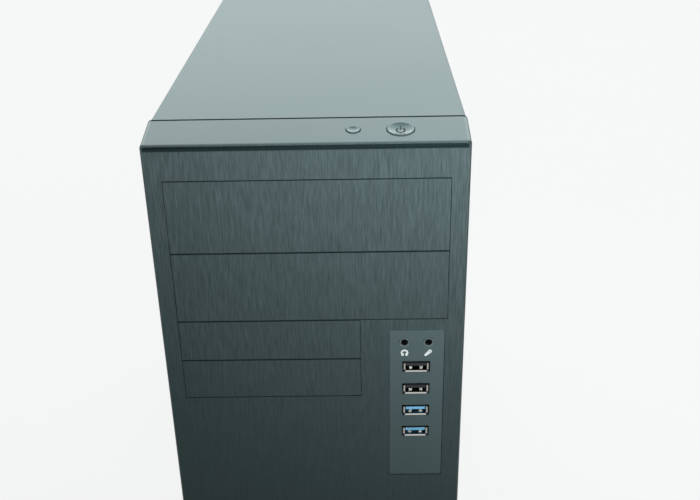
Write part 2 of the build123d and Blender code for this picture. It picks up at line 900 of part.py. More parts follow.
with BuildPart() as front_bezel:
    with BuildSketch(Plane.XY.offset(base_z)):
        with BuildLine():
            Polyline(
                (-half, seam_y),
                (-front_half, front_y),
                (front_half, front_y),
                (half, seam_y),
                close=True,
            )
        make_face()
    extrude(amount=height - base_z)
    with BuildSketch(beside(-brow_span / 2)):
        with BuildLine():
            Polyline((front_y, front_top), (seam_y, height), (front_y, height), close=True)
        make_face()
    extrude(amount=brow_span, mode=Mode.SUBTRACT)
    fillet(front_bezel.edges().filter_by(Axis.Z).group_by(Axis.Y)[0], bezel_corner)
    fillet(front_bezel.faces().sort_by(Axis.Z)[-1].edges().sort_by(Axis.Y)[:-1], bezel_round)
    add(hollow.part, mode=Mode.SUBTRACT)
    with BuildSketch(facing(front_y)):
        with Locations((0, (base_z + rim_side + front_top - rim_top) / 2)):
            Rectangle(front_width - 2 * rim_side, front_top - rim_top - base_z - rim_side)
    extrude(amount=-rim_proud, mode=Mode.SUBTRACT)
    with BuildSketch(brow.offset(-wall - collar_height)):
        for x, radius in buttons:
            with Locations((x, button_back)):
                Circle(radius + button_lip + collar_gap + collar_thick)
                Circle(radius + button_lip + collar_gap, mode=Mode.SUBTRACT)
    extrude(amount=collar_height)
    with BuildSketch(brow.offset(-wall)):
        for x, radius in buttons:
            with Locations((x, button_back)):
                Circle(radius + button_gap)
    extrude(amount=wall, mode=Mode.SUBTRACT)
    with BuildSketch(brow.offset(-switch_board_drop)):
        with Locations((switch_board_x, button_back)):
            with GridLocations(switch_post_spread, 0, 2, 1):
                Circle(post_radius)
                Circle(screw_shank + screw_bite, mode=Mode.SUBTRACT)
    extrude(amount=switch_board_drop - wall)
    with BuildSketch(facing(face_y)):
        with Locations((0, (bay_top + wide_bottom) / 2)):
            Rectangle(wide_bay_width, bay_top - wide_bottom + bay_gap)
        with Locations((small_x, (wide_bottom + small_bottom) / 2)):
            Rectangle(small_bay_width, wide_bottom - small_bottom + bay_gap)
        with Locations((strip_centre_x, strip_z)):
            Rectangle(strip_width + 2 * strip_gap, strip_height + 2 * strip_gap)
    extrude(amount=-wall, mode=Mode.SUBTRACT)
    with BuildSketch(facing(wall_back_y)):
        for x, z, bay_width, bay_height in wide_rows + small_rows:
            with Locations((x, z)):
                with GridLocations(bay_width, bay_height - ledge_tall - 2 * bay_gap, 2, 2):
                    Rectangle(2 * ledge_width, ledge_tall)
    extrude(amount=-ledge_thick)
    with BuildSketch(facing(wall_back_y)):
        with Locations((0, rib_top_z - rib_pitch * (rib_count - 1) / 2)):
            with GridLocations(0, rib_pitch, 1, rib_count):
                Rectangle(front_width - 2 * wall, rib_thick)
    extrude(amount=-rib_depth)
    clip_x = sheet_half - clip_inset
    clip_root = half + (front_half - half) * clip_back / (seam_y - front_y) - wall / 2
    for drop in clip_drops:
        for side in (-1, 1):
            with BuildSketch(facing(seam_y - clip_back)):
                with Locations((side * clip_x, front_top - drop)):
                    Rectangle(clip_thick, clip_width)
            extrude(amount=seam_y - clip_back - frame_back_y - clip_reach)
            with BuildSketch(facing(seam_y - clip_back)):
                with Locations((side * (clip_x + clip_root) / 2, front_top - drop)):
                    Rectangle(clip_root - clip_x, clip_width)
            extrude(amount=-wall)
    with BuildSketch(Plane.XY.offset(base_z)):
        with Locations((0, (wall_back_y + seam_y) / 2)):
            with GridLocations(intake_pitch, 0, intake_count, 1):
                SlotOverall(intake_length, intake_width)
    extrude(amount=wall, mode=Mode.SUBTRACT)
write(front_bezel, "front_bezel")

# Drive bay covers
for place, wide_row, small_row in zip(("upper", "lower"), wide_rows, small_rows):
    write(bay_cover(*wide_row), f"wide_bay_cover_{place}")
    write(bay_cover(*small_row), f"small_bay_cover_{place}")

# Connector strip with its windows, its rear flange and the posts of its board
usb_heights = [front_top - usb_drop - n * usb_pitch for n in range(usb_count)]
usb_places = [(socket_x, z) for z in usb_heights]
jack_places = [(socket_x + side * jack_spread / 2, front_top - jack_drop) for side in (-1, 1)]
post_places = [(socket_x, front_top - upper_post_drop), (socket_x, front_top - lower_post_drop)]
with BuildPart() as front_io_plate:
    with BuildSketch(facing(strip_y)):
        with Locations((strip_centre_x, strip_z)):
            Rectangle(strip_width, strip_height)
    extrude(amount=strip_y - strip_back_y)
    with BuildSketch(facing(wall_back_y)):
        with Locations((strip_centre_x, strip_z)):
            Rectangle(strip_width + 2 * strip_flange, strip_height + 2 * strip_flange)
    extrude(amount=-strip_flange_thick)
    with BuildSketch(facing(strip_back_y)):
        with Locations(*post_places):
            Circle(post_radius)
            Circle(screw_shank + screw_bite, mode=Mode.SUBTRACT)
    extrude(amount=strip_back_y - strip_board_y)
    with BuildSketch(facing(strip_y)):
        with Locations(*usb_places):
            RectangleRounded(usb_lip_width + 2 * usb_room, usb_lip_height + 2 * usb_room, strip_round)
        with Locations(*jack_places):
            Circle(jack_nose + usb_room)
    extrude(amount=strip_y - strip_back_y, mode=Mode.SUBTRACT)
write(front_io_plate, "front_io_plate")

# Folded metal shells of the front sockets, with split lips and two spring fingers each
with BuildPart() as usb_shells:
    with BuildSketch(facing(strip_y)):
        with Locations(*usb_places):
            Rectangle(usb_width, usb_height)
            Rectangle(usb_width - 2 * usb_skin, usb_height - 2 * usb_skin, mode=Mode.SUBTRACT)
    extrude(amount=-socket_depth)
    with BuildSketch(facing(strip_y)):
        with Locations(*usb_places):
            Rectangle(usb_lip_width, usb_height - 2 * usb_skin)
            Rectangle(usb_width - 2 * usb_skin, usb_lip_height)
            Rectangle(usb_width - 2 * usb_skin, usb_height - 2 * usb_skin, mode=Mode.SUBTRACT)
    extrude(amount=-usb_lip_thick)
    with BuildSketch(facing(strip_y + finger_back)):
        for x, z in usb_places:
            with Locations((x, z - usb_height / 2 + usb_skin + finger_height / 2)):
                with GridLocations(finger_spread, 0, 2, 1):
                    Rectangle(finger_width, finger_height)
    extrude(amount=-finger_length)
write(usb_shells, "usb_shells")

# Insulating tongues of the front sockets, black in the upper ones and blue in the lower ones
for name, heights in (
    ("usb_black_tongues", usb_heights[:usb_plain_count]),
    ("usb_blue_tongues", usb_heights[usb_plain_count:]),
):
    with BuildPart() as usb_tongues:
        with BuildSketch(facing(strip_y + tongue_back)):
            with Locations(*[(socket_x, z + tongue_raise) for z in heights]):
                Rectangle(tongue_width, tongue_thick)
        extrude(amount=tongue_back - socket_depth)
    write(usb_tongues, name)

# Audio jacks: a round nose in the strip and a square body on the board
jack_body_y = strip_back_y + sheet_gap
with BuildPart() as audio_jacks:
    with BuildSketch(facing(strip_y - jack_proud)):
        with Locations(*jack_places):
            Circle(jack_nose)
    extrude(amount=strip_y - jack_proud - strip_board_y)
    with BuildSketch(facing(jack_body_y)):
        with Locations(*jack_places):
            Rectangle(jack_body_width, jack_body_height)
    extrude(amount=jack_body_y - strip_board_y)
    with BuildSketch(facing(strip_y - jack_proud)):
        with Locations(*jack_places):
            Circle(jack_bore)
    extrude(amount=-jack_bore_length, mode=Mode.SUBTRACT)
write(audio_jacks, "audio_jacks")

# Board behind the connector strip
with BuildPart() as front_io_board:
    with BuildSketch(facing(strip_board_y)):
        with Locations((socket_x, strip_z)):
            Rectangle(strip_board_width, strip_height - 2 * strip_board_margin)
        with Locations(*post_places):
            Circle(screw_shank + screw_room, mode=Mode.SUBTRACT)
    extrude(amount=-board)
write(front_io_board, "front_io_board")

# Power and reset buttons, the switches that they press and the switch board
write(push_button(power_x, power_radius, power_dish), "power_button")
write(push_button(reset_x, reset_radius, reset_dish), "reset_button")

switch_places = [(x, button_back) for x, radius in buttons]
with BuildPart() as button_switches:
    with BuildSketch(brow.offset(-switch_board_drop)):
        with Locations(*switch_places):
            Rectangle(switch_size, switch_size)
    extrude(amount=switch_height)
    chamfer(button_switches.edges().group_by(brow_axis)[-1], switch_chamfer)
    with BuildSketch(brow.offset(switch_height - switch_board_drop)):
        with Locations(*switch_places):
            Circle(stem_radius + stem_gap)
    extrude(amount=-(stem_plunge + button_travel + stem_clear), mode=Mode.SUBTRACT)
write(button_switches, "button_switches")

with BuildPart() as switch_board:
    with BuildSketch(brow.offset(-switch_board_drop)):
        with Locations((switch_board_x, button_back)):
            Rectangle(switch_board_width, switch_board_depth)
            with GridLocations(switch_post_spread, 0, 2, 1):
                Circle(screw_shank + screw_room, mode=Mode.SUBTRACT)
    extrude(amount=-board)
write(switch_board, "switch_board")

# Top and bottom panels: folded sheets that run the length of the chassis
with BuildPart() as top_panel:
    roof = Plane(origin=(0, chassis_y, steel_top), x_dir=(1, 0, 0), z_dir=(0, 1, 0))
    extrude(channel(roof, steel_half, edge_fold, steel), amount=chassis_length)
write(top_panel, "top_panel")

with BuildPart() as bottom_panel:
    base = Plane(origin=(0, chassis_y + chassis_length, base_z), x_dir=(1, 0, 0), z_dir=(0, -1, 0))
    extrude(channel(base, steel_half, edge_fold, steel), amount=chassis_length)
write(bottom_panel, "bottom_panel")

# Front frame behind the moulding, open at the drive bays, with intake slots below and slots for the clips
small_open_top = shelf_z - shelf_fold
small_window_bottom = small_bottom - window_room
with BuildPart() as front_frame:
    sill = Plane(origin=(0, chassis_y, sheet_z), x_dir=(1, 0, 0), z_dir=(0, 0, 1))
    extrude(channel(sill, sheet_half, post_fold, steel), amount=sheet_height)
    with BuildSketch(facing(chassis_y)):
        with Locations((0, (bay_top + wide_bottom) / 2)):
            Rectangle(wide_drive_width + drive_room, bay_top - wide_bottom)
        with Locations((small_x, (small_open_top + small_window_bottom) / 2)):
            Rectangle(small_drive_width + 2 * window_room, small_open_top - small_window_bottom)
        with Locations((strip_centre_x, (small_open_top + small_window_bottom) / 2)):
            Rectangle(strip_width, small_open_top - small_window_bottom)
        for drop in clip_drops:
            with Locations((0, front_top - drop)):
                with GridLocations(2 * clip_x, 0, 2, 1):
                    Rectangle(clip_thick + 2 * sheet_gap, clip_width + 2 * sheet_gap)
        with Locations((0, base_z + frame_vent_height)):
            with GridLocations(0, 2 * intake_width, 1, frame_vent_count):
                SlotOverall(frame_vent_length, intake_width)
    extrude(amount=-steel, mode=Mode.SUBTRACT)
write(front_frame, "front_frame")

# Rear panel with windows for the power supply, the ports, the cards and the fan
fan_reach = rear_fan_holes / 2
fan_hole_places = [
    (rear_fan_x + i * fan_reach, rear_fan_height + k * fan_reach) for i in (-1, 1) for k in (-1, 1)
]
supply_screw_places = [(i * supply_screw_x, supply_z + k * supply_screw_z) for i in (-1, 1) for k in (-1, 1)]
slot_screw_places = [(slot_screw_x, z) for z in card_heights]
thumb_places = [(side * thumb_x, z) for side in (-1, 1) for z in thumb_heights]
slot_window_right = slot_cover_right - shield_overlap
notch_width = sheet_half - rail_in + notch_room
notch_height = rail_upstand + 2 * steel + 2 * notch_room
with BuildPart() as rear_panel:
    back = Plane(origin=(0, rear_y, sheet_z), x_dir=(-1, 0, 0), z_dir=(0, 0, 1))
    extrude(channel(back, sheet_half, post_fold, steel), amount=sheet_height)
    with BuildSketch(facing(rear_y)):
        with Locations((0, supply_z)):
            Rectangle(supply_window_width, supply_window_height)
        with Locations((aperture_x, aperture_z)):
            Rectangle(aperture_width, aperture_height)
        with Locations(*[((slot_window_left + slot_window_right) / 2, z) for z in card_heights]):
            Rectangle(slot_window_right - slot_window_left, slot_window_width)
        with Locations((rear_fan_x, rear_fan_height)):
            Circle(rear_fan_bore)
        with Locations(*fan_hole_places, *supply_screw_places, *slot_screw_places):
            Circle(screw_shank + screw_room)
        with Locations(*thumb_places):
            Circle(thumb_shank + screw_room)
    extrude(amount=steel, mode=Mode.SUBTRACT)
    with BuildSketch(facing(rear_y)):
        for side in (-1, 1):
            for z in (rail_tip_top + rail_upstand / 2, rail_tip_base - rail_upstand / 2):
                with Locations((side * (sheet_half - notch_width / 2), z)):
                    Rectangle(notch_width, notch_height)
    extrude(amount=post_fold, mode=Mode.SUBTRACT)
write(rear_panel, "rear_panel")

# Motherboard tray with a folded foot, raised standoffs and a window behind the processor
hole_places = [(y, z) for y in hole_y for z in hole_z]
tray_back_x = tray_x + steel
tray_toe = tray_x + tray_foot
with BuildPart() as motherboard_tray:
    tray_section = angle_sheet(
        facing(tray_front_y),
        (tray_x, tray_top),
        (tray_x, floor_z),
        (tray_toe, floor_z),
        (tray_back_x, tray_top),
        (tray_back_x, floor_z + steel),
        (tray_toe, floor_z + steel),
    )
    extrude(tray_section, amount=tray_front_y - rear_in_y)
    with BuildSketch(beside(tray_x)):
        with Locations((processor_y, processor_z)):
            Rectangle(tray_window, tray_window)
    extrude(amount=steel, mode=Mode.SUBTRACT)
    with BuildSketch(beside(board_back_x)):
        with Locations(*hole_places):
            Circle(standoff_radius)
            Circle(screw_shank + screw_bite, mode=Mode.SUBTRACT)
    extrude(amount=standoff)
write(motherboard_tray, "motherboard_tray")

# Walls of the wide drive cage, hung from the top panel
cage_middle_y = frame_back_y + cage_depth / 2
with BuildPart() as drive_cage_walls:
    for wall_x in (-wide_wall_half - steel, wide_wall_half):
        with BuildSketch(beside(wall_x)):
            with Locations((cage_middle_y, (roof_z + shelf_z) / 2)):
                Rectangle(cage_depth, roof_z - shelf_z)
            for x, z, bay_width, bay_height in wide_rows:
                with Locations((cage_middle_y, z)):
                    with GridLocations(cage_slot_spread, bay_height / 2, 2, 2):
                        SlotOverall(cage_slot_length, cage_slot_width, mode=Mode.SUBTRACT)
        extrude(amount=steel)
write(drive_cage_walls, "drive_cage_walls")

# Shelf under the wide drives
with BuildPart() as drive_shelf:
    shelf = Plane(origin=(0, frame_back_y, shelf_z), x_dir=(1, 0, 0), z_dir=(0, 1, 0))
    extrude(channel(shelf, shelf_half, shelf_fold, steel), amount=cage_depth)
write(drive_shelf, "drive_shelf")

# Small drive cage hung under the shelf: two open bays and the hard drive's bay
small_cage_height = shelf_z - steel - sheet_gap - small_floor
small_middle_y = frame_back_y + cage_depth / 2
hard_drive_screw_z = hard_drive_z + hard_drive_cast / 2
with BuildPart() as hard_drive_cage:
    hanger = Plane(
        origin=(small_x, frame_back_y + cage_depth, small_floor), x_dir=(1, 0, 0), z_dir=(0, -1, 0)
    )
    extrude(channel(hanger, small_wall_half + steel, small_cage_height, steel), amount=cage_depth)
    with BuildSketch(beside(small_x - small_wall_half - steel)):
        for x, z, bay_width, bay_height in small_rows:
            with Locations((small_middle_y, z)):
                with GridLocations(cage_slot_spread, 0, 2, 1):
                    SlotOverall(cage_slot_length, cage_slot_width)
        with Locations((hard_drive_y, hard_drive_screw_z)):
            with GridLocations(drive_screw_spread, 0, 2, 1):
                Circle(screw_shank + screw_room)
    extrude(amount=2 * (small_wall_half + steel), mode=Mode.SUBTRACT)
write(hard_drive_cage, "hard_drive_cage")

# Hard drive: a cast body and a pressed lid over the platters
with BuildPart() as hard_drive:
    with BuildSketch(Plane.XY.offset(hard_drive_z)):
        with Locations((small_x, hard_drive_y)):
            RectangleRounded(small_drive_width, hard_drive_length, hard_drive_lid_inset)
    extrude(amount=hard_drive_cast)
    with BuildSketch(beside(small_x - small_drive_width / 2)):
        with Locations((hard_drive_y, hard_drive_screw_z)):
            with GridLocations(drive_screw_spread, 0, 2, 1):
                Circle(screw_shank + screw_bite)
    extrude(amount=small_drive_width, mode=Mode.SUBTRACT)
write(hard_drive, "hard_drive")

lid_width = small_drive_width - 2 * hard_drive_lid_inset
lid_length = hard_drive_length - 2 * hard_drive_lid_inset
with BuildPart() as hard_drive_lid:
    with BuildSketch(Plane.XY.offset(hard_drive_z + hard_drive_cast)):
        with Locations((small_x, hard_drive_y)):
            RectangleRounded(lid_width, lid_length, hard_drive_round)
    extrude(amount=hard_drive_height - hard_drive_cast - platter_raise)
    with BuildSketch(Plane.XY.offset(hard_drive_z + hard_drive_height - platter_raise)):
        with Locations((small_x, hard_drive_y + (lid_width - lid_length) / 2)):
            Circle(lid_width / 2 - hard_drive_round)
            Circle(spindle_radius, mode=Mode.SUBTRACT)
    extrude(amount=platter_raise)
write(hard_drive_lid, "hard_drive_lid")

# Side panels, the left one vented over the cooler and the cards, each with its thumbscrews
write(side_panel(-1, True), "left_side_panel")
write(side_panel(1, False), "right_side_panel")
write(thumbscrews(-1), "left_thumbscrews")
write(thumbscrews(1), "right_thumbscrews")

# Feet with rubber pads let into them
foot_places = [
    (side * (steel_half - foot_inset_x), y)
    for side in (-1, 1)
    for y in (chassis_y + foot_inset_y, rear_y - foot_inset_y)
]
with BuildPart() as feet:
    with BuildSketch(Plane.XY.offset(pad_proud)):
        with Locations(*foot_places):
            Circle(foot_radius)
    extrude(amount=base_z - pad_proud)
    chamfer(feet.edges().group_by(Axis.Z)[0], foot_taper)
    with BuildSketch(Plane.XY.offset(pad_proud)):
        with Locations(*foot_places):
            Circle(pad_radius)
    extrude(amount=pad_thick - pad_proud, mode=Mode.SUBTRACT)
write(feet, "feet")

with BuildPart() as foot_pads:
    with BuildSketch():
        with Locations(*foot_places):
            Circle(pad_radius - pad_room)
    extrude(amount=pad_thick)
write(foot_pads, "foot_pads")

# Motherboard
with BuildPart() as motherboard:
    with BuildSketch(beside(board_x)):
        with Locations(((board_rear + board_front) / 2, (board_top + board_base) / 2)):
            Rectangle(board_depth, board_height)
        with Locations(*hole_places):
            Circle(board_hole, mode=Mode.SUBTRACT)
    extrude(amount=board)
write(motherboard, "motherboard")

# Processor in its socket
with BuildPart() as processor:
    with BuildSketch(beside(board_x)):
        with Locations((processor_y, processor_z)):
            Rectangle(socket_size, socket_size)
    extrude(amount=-socket_height)
    with BuildSketch(beside(board_x - socket_height)):
        with Locations((processor_y, processor_z)):
            RectangleRounded(lid_size, lid_size, lid_height)
    extrude(amount=-lid_height)
write(processor, "processor")

# Processor heatsink: a base with straight fins
with BuildPart() as cpu_heatsink:
    with BuildSketch(Plane.XY.offset(processor_z - sink_size / 2)):
        with Locations((sink_x - sink_base / 2, processor_y)):
            Rectangle(sink_base, sink_size)
        with Locations((sink_x - (sink_base + sink_height) / 2, processor_y)):
            with GridLocations(0, (sink_size - fin_thick) / (fin_count - 1), 1, fin_count):
                Rectangle(sink_height - sink_base, fin_thick)
    extrude(amount=sink_size)
write(cpu_heatsink, "cpu_heatsink")

# Fans: the cooler's, the rear one and the power supply's, with two guards and their screws
cooler_plane = Plane(origin=(sink_face_x, processor_y, processor_z), x_dir=(0, 1, 0), z_dir=(-1, 0, 0))
rear_fan_plane = Plane(origin=(rear_fan_x, rear_in_y, rear_fan_height), x_dir=(1, 0, 0), z_dir=(0, -1, 0))
supply_fan_plane = Plane(origin=(0, supply_y, supply_bottom + supply_sheet), x_dir=(1, 0, 0), z_dir=(0, 0, 1))
for name, plane, size, bore, hub, holes in (
    ("cpu_fan", cooler_plane, cooler_fan_size, cooler_fan_bore, cooler_fan_hub, cooler_fan_holes),
    ("rear_fan", rear_fan_plane, rear_fan_size, rear_fan_bore, rear_fan_hub, rear_fan_holes),
    ("psu_fan", supply_fan_plane, supply_fan_size, supply_fan_bore, supply_fan_hub, supply_fan_holes),
):
    write(fan_frame(plane, size, bore, hub, holes), f"{name}_frame")
    write(fan_rotor(plane, bore, hub), f"{name}_rotor")

rear_guard_plane = Plane(origin=(rear_fan_x, rear_y, rear_fan_height), x_dir=(-1, 0, 0), z_dir=(0, 1, 0))
supply_guard_plane = Plane(origin=(0, supply_y, supply_bottom), x_dir=(1, 0, 0), z_dir=(0, 0, -1))
guards = (
    (rear_guard_plane, rear_fan_bore, rear_fan_holes),
    (supply_guard_plane, supply_fan_bore, supply_fan_holes),
)
write(fan_guards(guards), "fan_guards")

fan_seats = []
for plane, bore, holes in guards:
    for corner in [(i * holes / 2, k * holes / 2, guard_thick) for i in (-1, 1) for k in (-1, 1)]:
        seat = Plane(origin=plane.from_local_coords(corner), x_dir=plane.x_dir, z_dir=plane.z_dir)
        fan_seats.append((seat, guard_thick + steel + fan_flange))
write(screws(fan_seats), "fan_screws")

# Memory slots and modules
memory_z = board_top - memory_drop
memory_places = [(board_rear - back, memory_z) for back in memory_back]
memory_foot = board_x - memory_slot_height + memory_grip
with BuildPart() as memory_slots:
    with BuildSketch(beside(board_x)):
        with Locations(*memory_places):
            Rectangle(memory_slot_width, memory_slot_length)
    extrude(amount=-memory_slot_height)
    with BuildSketch(beside(memory_foot)):
        with Locations(*memory_places):
            Rectangle(memory_thick + 2 * memory_fit, memory_length + 2 * memory_fit)
    extrude(amount=-memory_grip, mode=Mode.SUBTRACT)
write(memory_slots, "memory_slots")

with BuildPart() as memory_modules:
    with BuildSketch(beside(memory_foot)):
        with Locations(*memory_places):
            Rectangle(memory_thick, memory_length)
    extrude(amount=-memory_height)
    for y, z in memory_places:
        with BuildSketch(facing(y - memory_thick / 2)):
            with Locations((memory_foot - memory_height + chip_length, z)):
                with GridLocations(0, chip_pitch, 1, chip_count):
                    Rectangle(chip_length, chip_width)
        extrude(amount=chip_thick)
write(memory_modules, "memory_modules")

# Expansion slots, each with a groove for a card's edge
with BuildPart() as expansion_slots:
    for z, length in zip(card_heights, card_slot_lengths):
        slot_y = board_rear - card_slot_rear - length / 2
        with BuildSketch(beside(board_x)):
            with Locations((slot_y, z)):
                Rectangle(length, card_slot_width)
        extrude(amount=-card_slot_height)
        with BuildSketch(beside(board_x - card_slot_height)):
            with Locations((slot_y, z)):
                Rectangle(length - 2 * card_slot_end, card_groove)
        extrude(amount=card_groove_depth, mode=Mode.SUBTRACT)
write(expansion_slots, "expansion_slots")

# Power and drive sockets on the motherboard
power_plugs = (
    (board_rear - main_plug_back, board_top - main_plug_drop, plug_rows, main_plug_columns),
    (board_rear - processor_plug_back, board_top - processor_plug_drop, processor_plug_columns, plug_rows),
)
data_heights = [board_top - data_plug_first - n * data_plug_pitch for n in range(data_plug_count)]
data_places = [(board_rear - data_plug_back, z) for z in data_heights]
with BuildPart() as board_sockets:
    for y, z, columns, rows in power_plugs:
        with BuildSketch(beside(board_x)):
            with Locations((y, z)):
                Rectangle(columns * pin_pitch + plug_edge, rows * pin_pitch + plug_edge)
        extrude(amount=-main_plug_height)
        with BuildSketch(beside(board_x - main_plug_height)):
            with Locations((y, z)):
                with GridLocations(pin_pitch, pin_pitch, columns, rows):
                    Rectangle(pin_pocket, pin_pocket)
        extrude(amount=pin_pocket_depth, mode=Mode.SUBTRACT)
    with BuildSketch(beside(board_x)):
        with Locations(*data_places):
            Rectangle(data_plug_length, data_plug_width)
    extrude(amount=-data_plug_height)
    with BuildSketch(beside(board_x - data_plug_height)):
        with Locations(*data_places):
            Rectangle(data_plug_length - 2 * card_slot_end, data_plug_groove)
    extrude(amount=data_plug_groove_depth, mode=Mode.SUBTRACT)
write(board_sockets, "board_sockets")

# Chipset and regulator heatsinks
chipset_y, chipset_z = board_rear - chipset_back, board_top - chipset_drop
regulator_y, regulator_z = board_rear - regulator_back, board_top - regulator_drop
with BuildPart() as board_heatsinks:
    chipset_section = finned(
        chipset_y, chipset_z, chipset_sink, chipset_sink, chipset_sink_height, small_fin_count
    )
    extrude(chipset_section, amount=chipset_sink)
    regulator_section = finned(
        regulator_y, regulator_z, regulator_width, regulator_length, regulator_height, regulator_fin_count
    )
    extrude(regulator_section, amount=regulator_length)
write(board_heatsinks, "board_heatsinks")

# Capacitors and the clock's coin cell in its holder
with BuildPart() as capacitors:
    with BuildSketch(beside(board_x)):
        with Locations((board_rear - capacitor_back, board_top - capacitor_drop)):
            with GridLocations(capacitor_pitch, capacitor_pitch, capacitor_columns, capacitor_rows):
                Circle(capacitor_radius)
    extrude(amount=-capacitor_height)
write(capacitors, "capacitors")

cell_place = (board_rear - cell_back, board_top - cell_drop)
with BuildPart() as coin_cell:
    with BuildSketch(beside(board_x)):
        with Locations(cell_place):
            Circle(cell_holder)
    extrude(amount=-cell_holder_thick)
    with BuildSketch(beside(board_x - cell_holder_thick)):
        with Locations(cell_place):
            Circle(cell_radius)
    extrude(amount=-cell_thick)
write(coin_cell, "coin_cell")

# Rear ports: blocks on the motherboard's rear edge, open to the back
stack_places = [(board_x - stack_height / 2, board_top - drop) for drop in stack_drops]
screen_place = (board_x - screen_plug_height / 2, board_top - screen_plug_drop)
monitor_place = (board_x - monitor_plug_height / 2, board_top - monitor_plug_drop)
network_place = (board_x - network_height / 2, board_top - network_drop)
sound_place = (board_x - sound_height / 2, board_top - sound_drop)
port_blocks = [(place, stack_height, stack_width) for place in stack_places] + [
    (screen_place, screen_plug_height, screen_plug_width),
    (monitor_place, monitor_plug_height, monitor_plug_width),
    (network_place, network_height, network_width),
]
port_windows = port_blocks + [(sound_place, sound_height, sound_width)]
shell_x, shell_z = monitor_place
shell_left = shell_x - monitor_shell_height / 2
shell_right = shell_x + monitor_shell_height / 2
shell_long = monitor_shell_width / 2
shell_short = shell_long - monitor_shell_slope
with BuildPart() as rear_ports:
    with BuildSketch(facing(rear_y)):
        for place, tall, wide in port_blocks:
            with Locations(place):
                Rectangle(tall, wide)
    extrude(amount=port_depth)
    with BuildSketch(facing(rear_y)):
        with Locations(*stack_places):
            with GridLocations(stack_spread, 0, 2, 1):
                Rectangle(stack_pocket_height, stack_pocket_width)
        with Locations(screen_place):
            Rectangle(screen_plug_height - 2 * port_skin, screen_plug_width - 2 * port_skin)
        with Locations(network_place):
            Rectangle(network_pocket_height, network_pocket_width)
    extrude(amount=port_pocket, mode=Mode.SUBTRACT)
    with BuildSketch(facing(rear_y - sound_nose - sheet_gap)):
        with Locations(sound_place):
            Rectangle(sound_height, sound_width)
    extrude(amount=port_depth - sound_nose - sheet_gap)
    with BuildSketch(facing(rear_y)):
        with Locations(sound_place):
            with GridLocations(sound_pitch, 0, sound_count, 1):
                Rectangle(sound_pitch - sheet_gap, sound_width)
    extrude(amount=sound_nose)
    with BuildSketch(facing(rear_y)):
        with Locations(sound_place):
            with GridLocations(sound_pitch, 0, sound_count, 1):
                Circle(sound_bore)
    extrude(amount=port_pocket, mode=Mode.SUBTRACT)
    with BuildSketch(facing(rear_y - port_skin)):
        with Locations(*stack_places):
            with GridLocations(stack_spread, 0, 2, 1):
                with Locations((-tongue_raise, 0)):
                    Rectangle(tongue_thick, tongue_width)
        with Locations(screen_place):
            Rectangle(screen_tongue_thick, screen_tongue_width)
    extrude(amount=port_pocket)
    with BuildSketch(facing(rear_y)):
        with BuildLine():
            Polyline(
                (shell_left, shell_z - shell_long),
                (shell_left, shell_z + shell_long),
                (shell_right, shell_z + shell_short),
                (shell_right, shell_z - shell_short),
                close=True,
            )
        make_face()
        with Locations(monitor_place):
            with GridLocations(0, monitor_post_spread, 1, 2):
                RegularPolygon(monitor_post, 6)
    extrude(amount=-monitor_shell_reach)
write(rear_ports, "rear_ports")

# Shield round the rear ports
with BuildPart() as io_shield:
    with BuildSketch(facing(rear_in_y)):
        with Locations((aperture_x, aperture_z)):
            Rectangle(aperture_width + 2 * shield_overlap, aperture_height + 2 * shield_overlap)
        for place, tall, wide in port_windows:
            with Locations(place):
                Rectangle(tall + 2 * port_room, wide + 2 * port_room, mode=Mode.SUBTRACT)
    extrude(amount=shield)
write(io_shield, "io_shield")

# Covers of the empty expansion slots, screwed to the inside of the rear panel
with BuildPart() as slot_covers:
    with BuildSketch(facing(rear_in_y)):
        with Locations(*[((slot_cover_left + slot_cover_right) / 2, z) for z in card_heights]):
            Rectangle(slot_cover_right - slot_cover_left, slot_cover_width)
        with Locations(*slot_screw_places):
            Circle(screw_shank + screw_room, mode=Mode.SUBTRACT)
    extrude(amount=steel)
write(slot_covers, "slot_covers")

# Power supply: a tub with a honeycomb grille behind its rear wall and a fan opening below, and a lid over it
with BuildPart() as psu_case:
    tub_half = supply_width / 2 - supply_sheet - sheet_gap
    tub = Plane(origin=(-tub_half, supply_y, supply_bottom), x_dir=(0, 1, 0), z_dir=(1, 0, 0))
    tub_section = channel(tub, supply_length / 2, supply_height - supply_sheet - sheet_gap, supply_sheet)
    extrude(tub_section, amount=2 * tub_half)
    with BuildSketch(Plane.XY.offset(supply_bottom)):
        with Locations((0, supply_y)):
            Circle(supply_fan_bore)
            with GridLocations(supply_fan_holes, supply_fan_holes, 2, 2):
                Circle(screw_shank + screw_room)
    extrude(amount=supply_sheet, mode=Mode.SUBTRACT)
    with BuildSketch(facing(supply_rear)):
        with Locations((comb_x, supply_z)):
            Rectangle(comb_window_width, comb_window_height)
        with Locations((inlet_x, inlet_centre_z)):
            Rectangle(inlet_width + 2 * sheet_gap, inlet_height + 2 * sheet_gap)
        with Locations((rocker_x, rocker_centre_z)):
            Rectangle(rocker_sleeve_width + 2 * sheet_gap, rocker_sleeve_height + 2 * sheet_gap)
        with Locations(*supply_screw_places):
            Circle(screw_shank + screw_room)
    extrude(amount=supply_sheet, mode=Mode.SUBTRACT)
    with BuildSketch(facing(supply_front)):
        with Locations((supply_outlet_x, supply_z)):
            Circle(supply_outlet)
    extrude(amount=-supply_sheet, mode=Mode.SUBTRACT)
    with BuildSketch(facing(supply_rear - supply_sheet - sheet_gap)):
        with Locations((comb_x, supply_z)):
            Rectangle(comb_window_width + 2 * comb_overlap, comb_window_height + 2 * comb_overlap)
            with HexLocations(comb_pitch / 2, comb_columns, comb_rows):
                RegularPolygon(comb_hex, 6, rotation=30, mode=Mode.SUBTRACT)
    extrude(amount=supply_sheet)
write(psu_case, "psu_case")

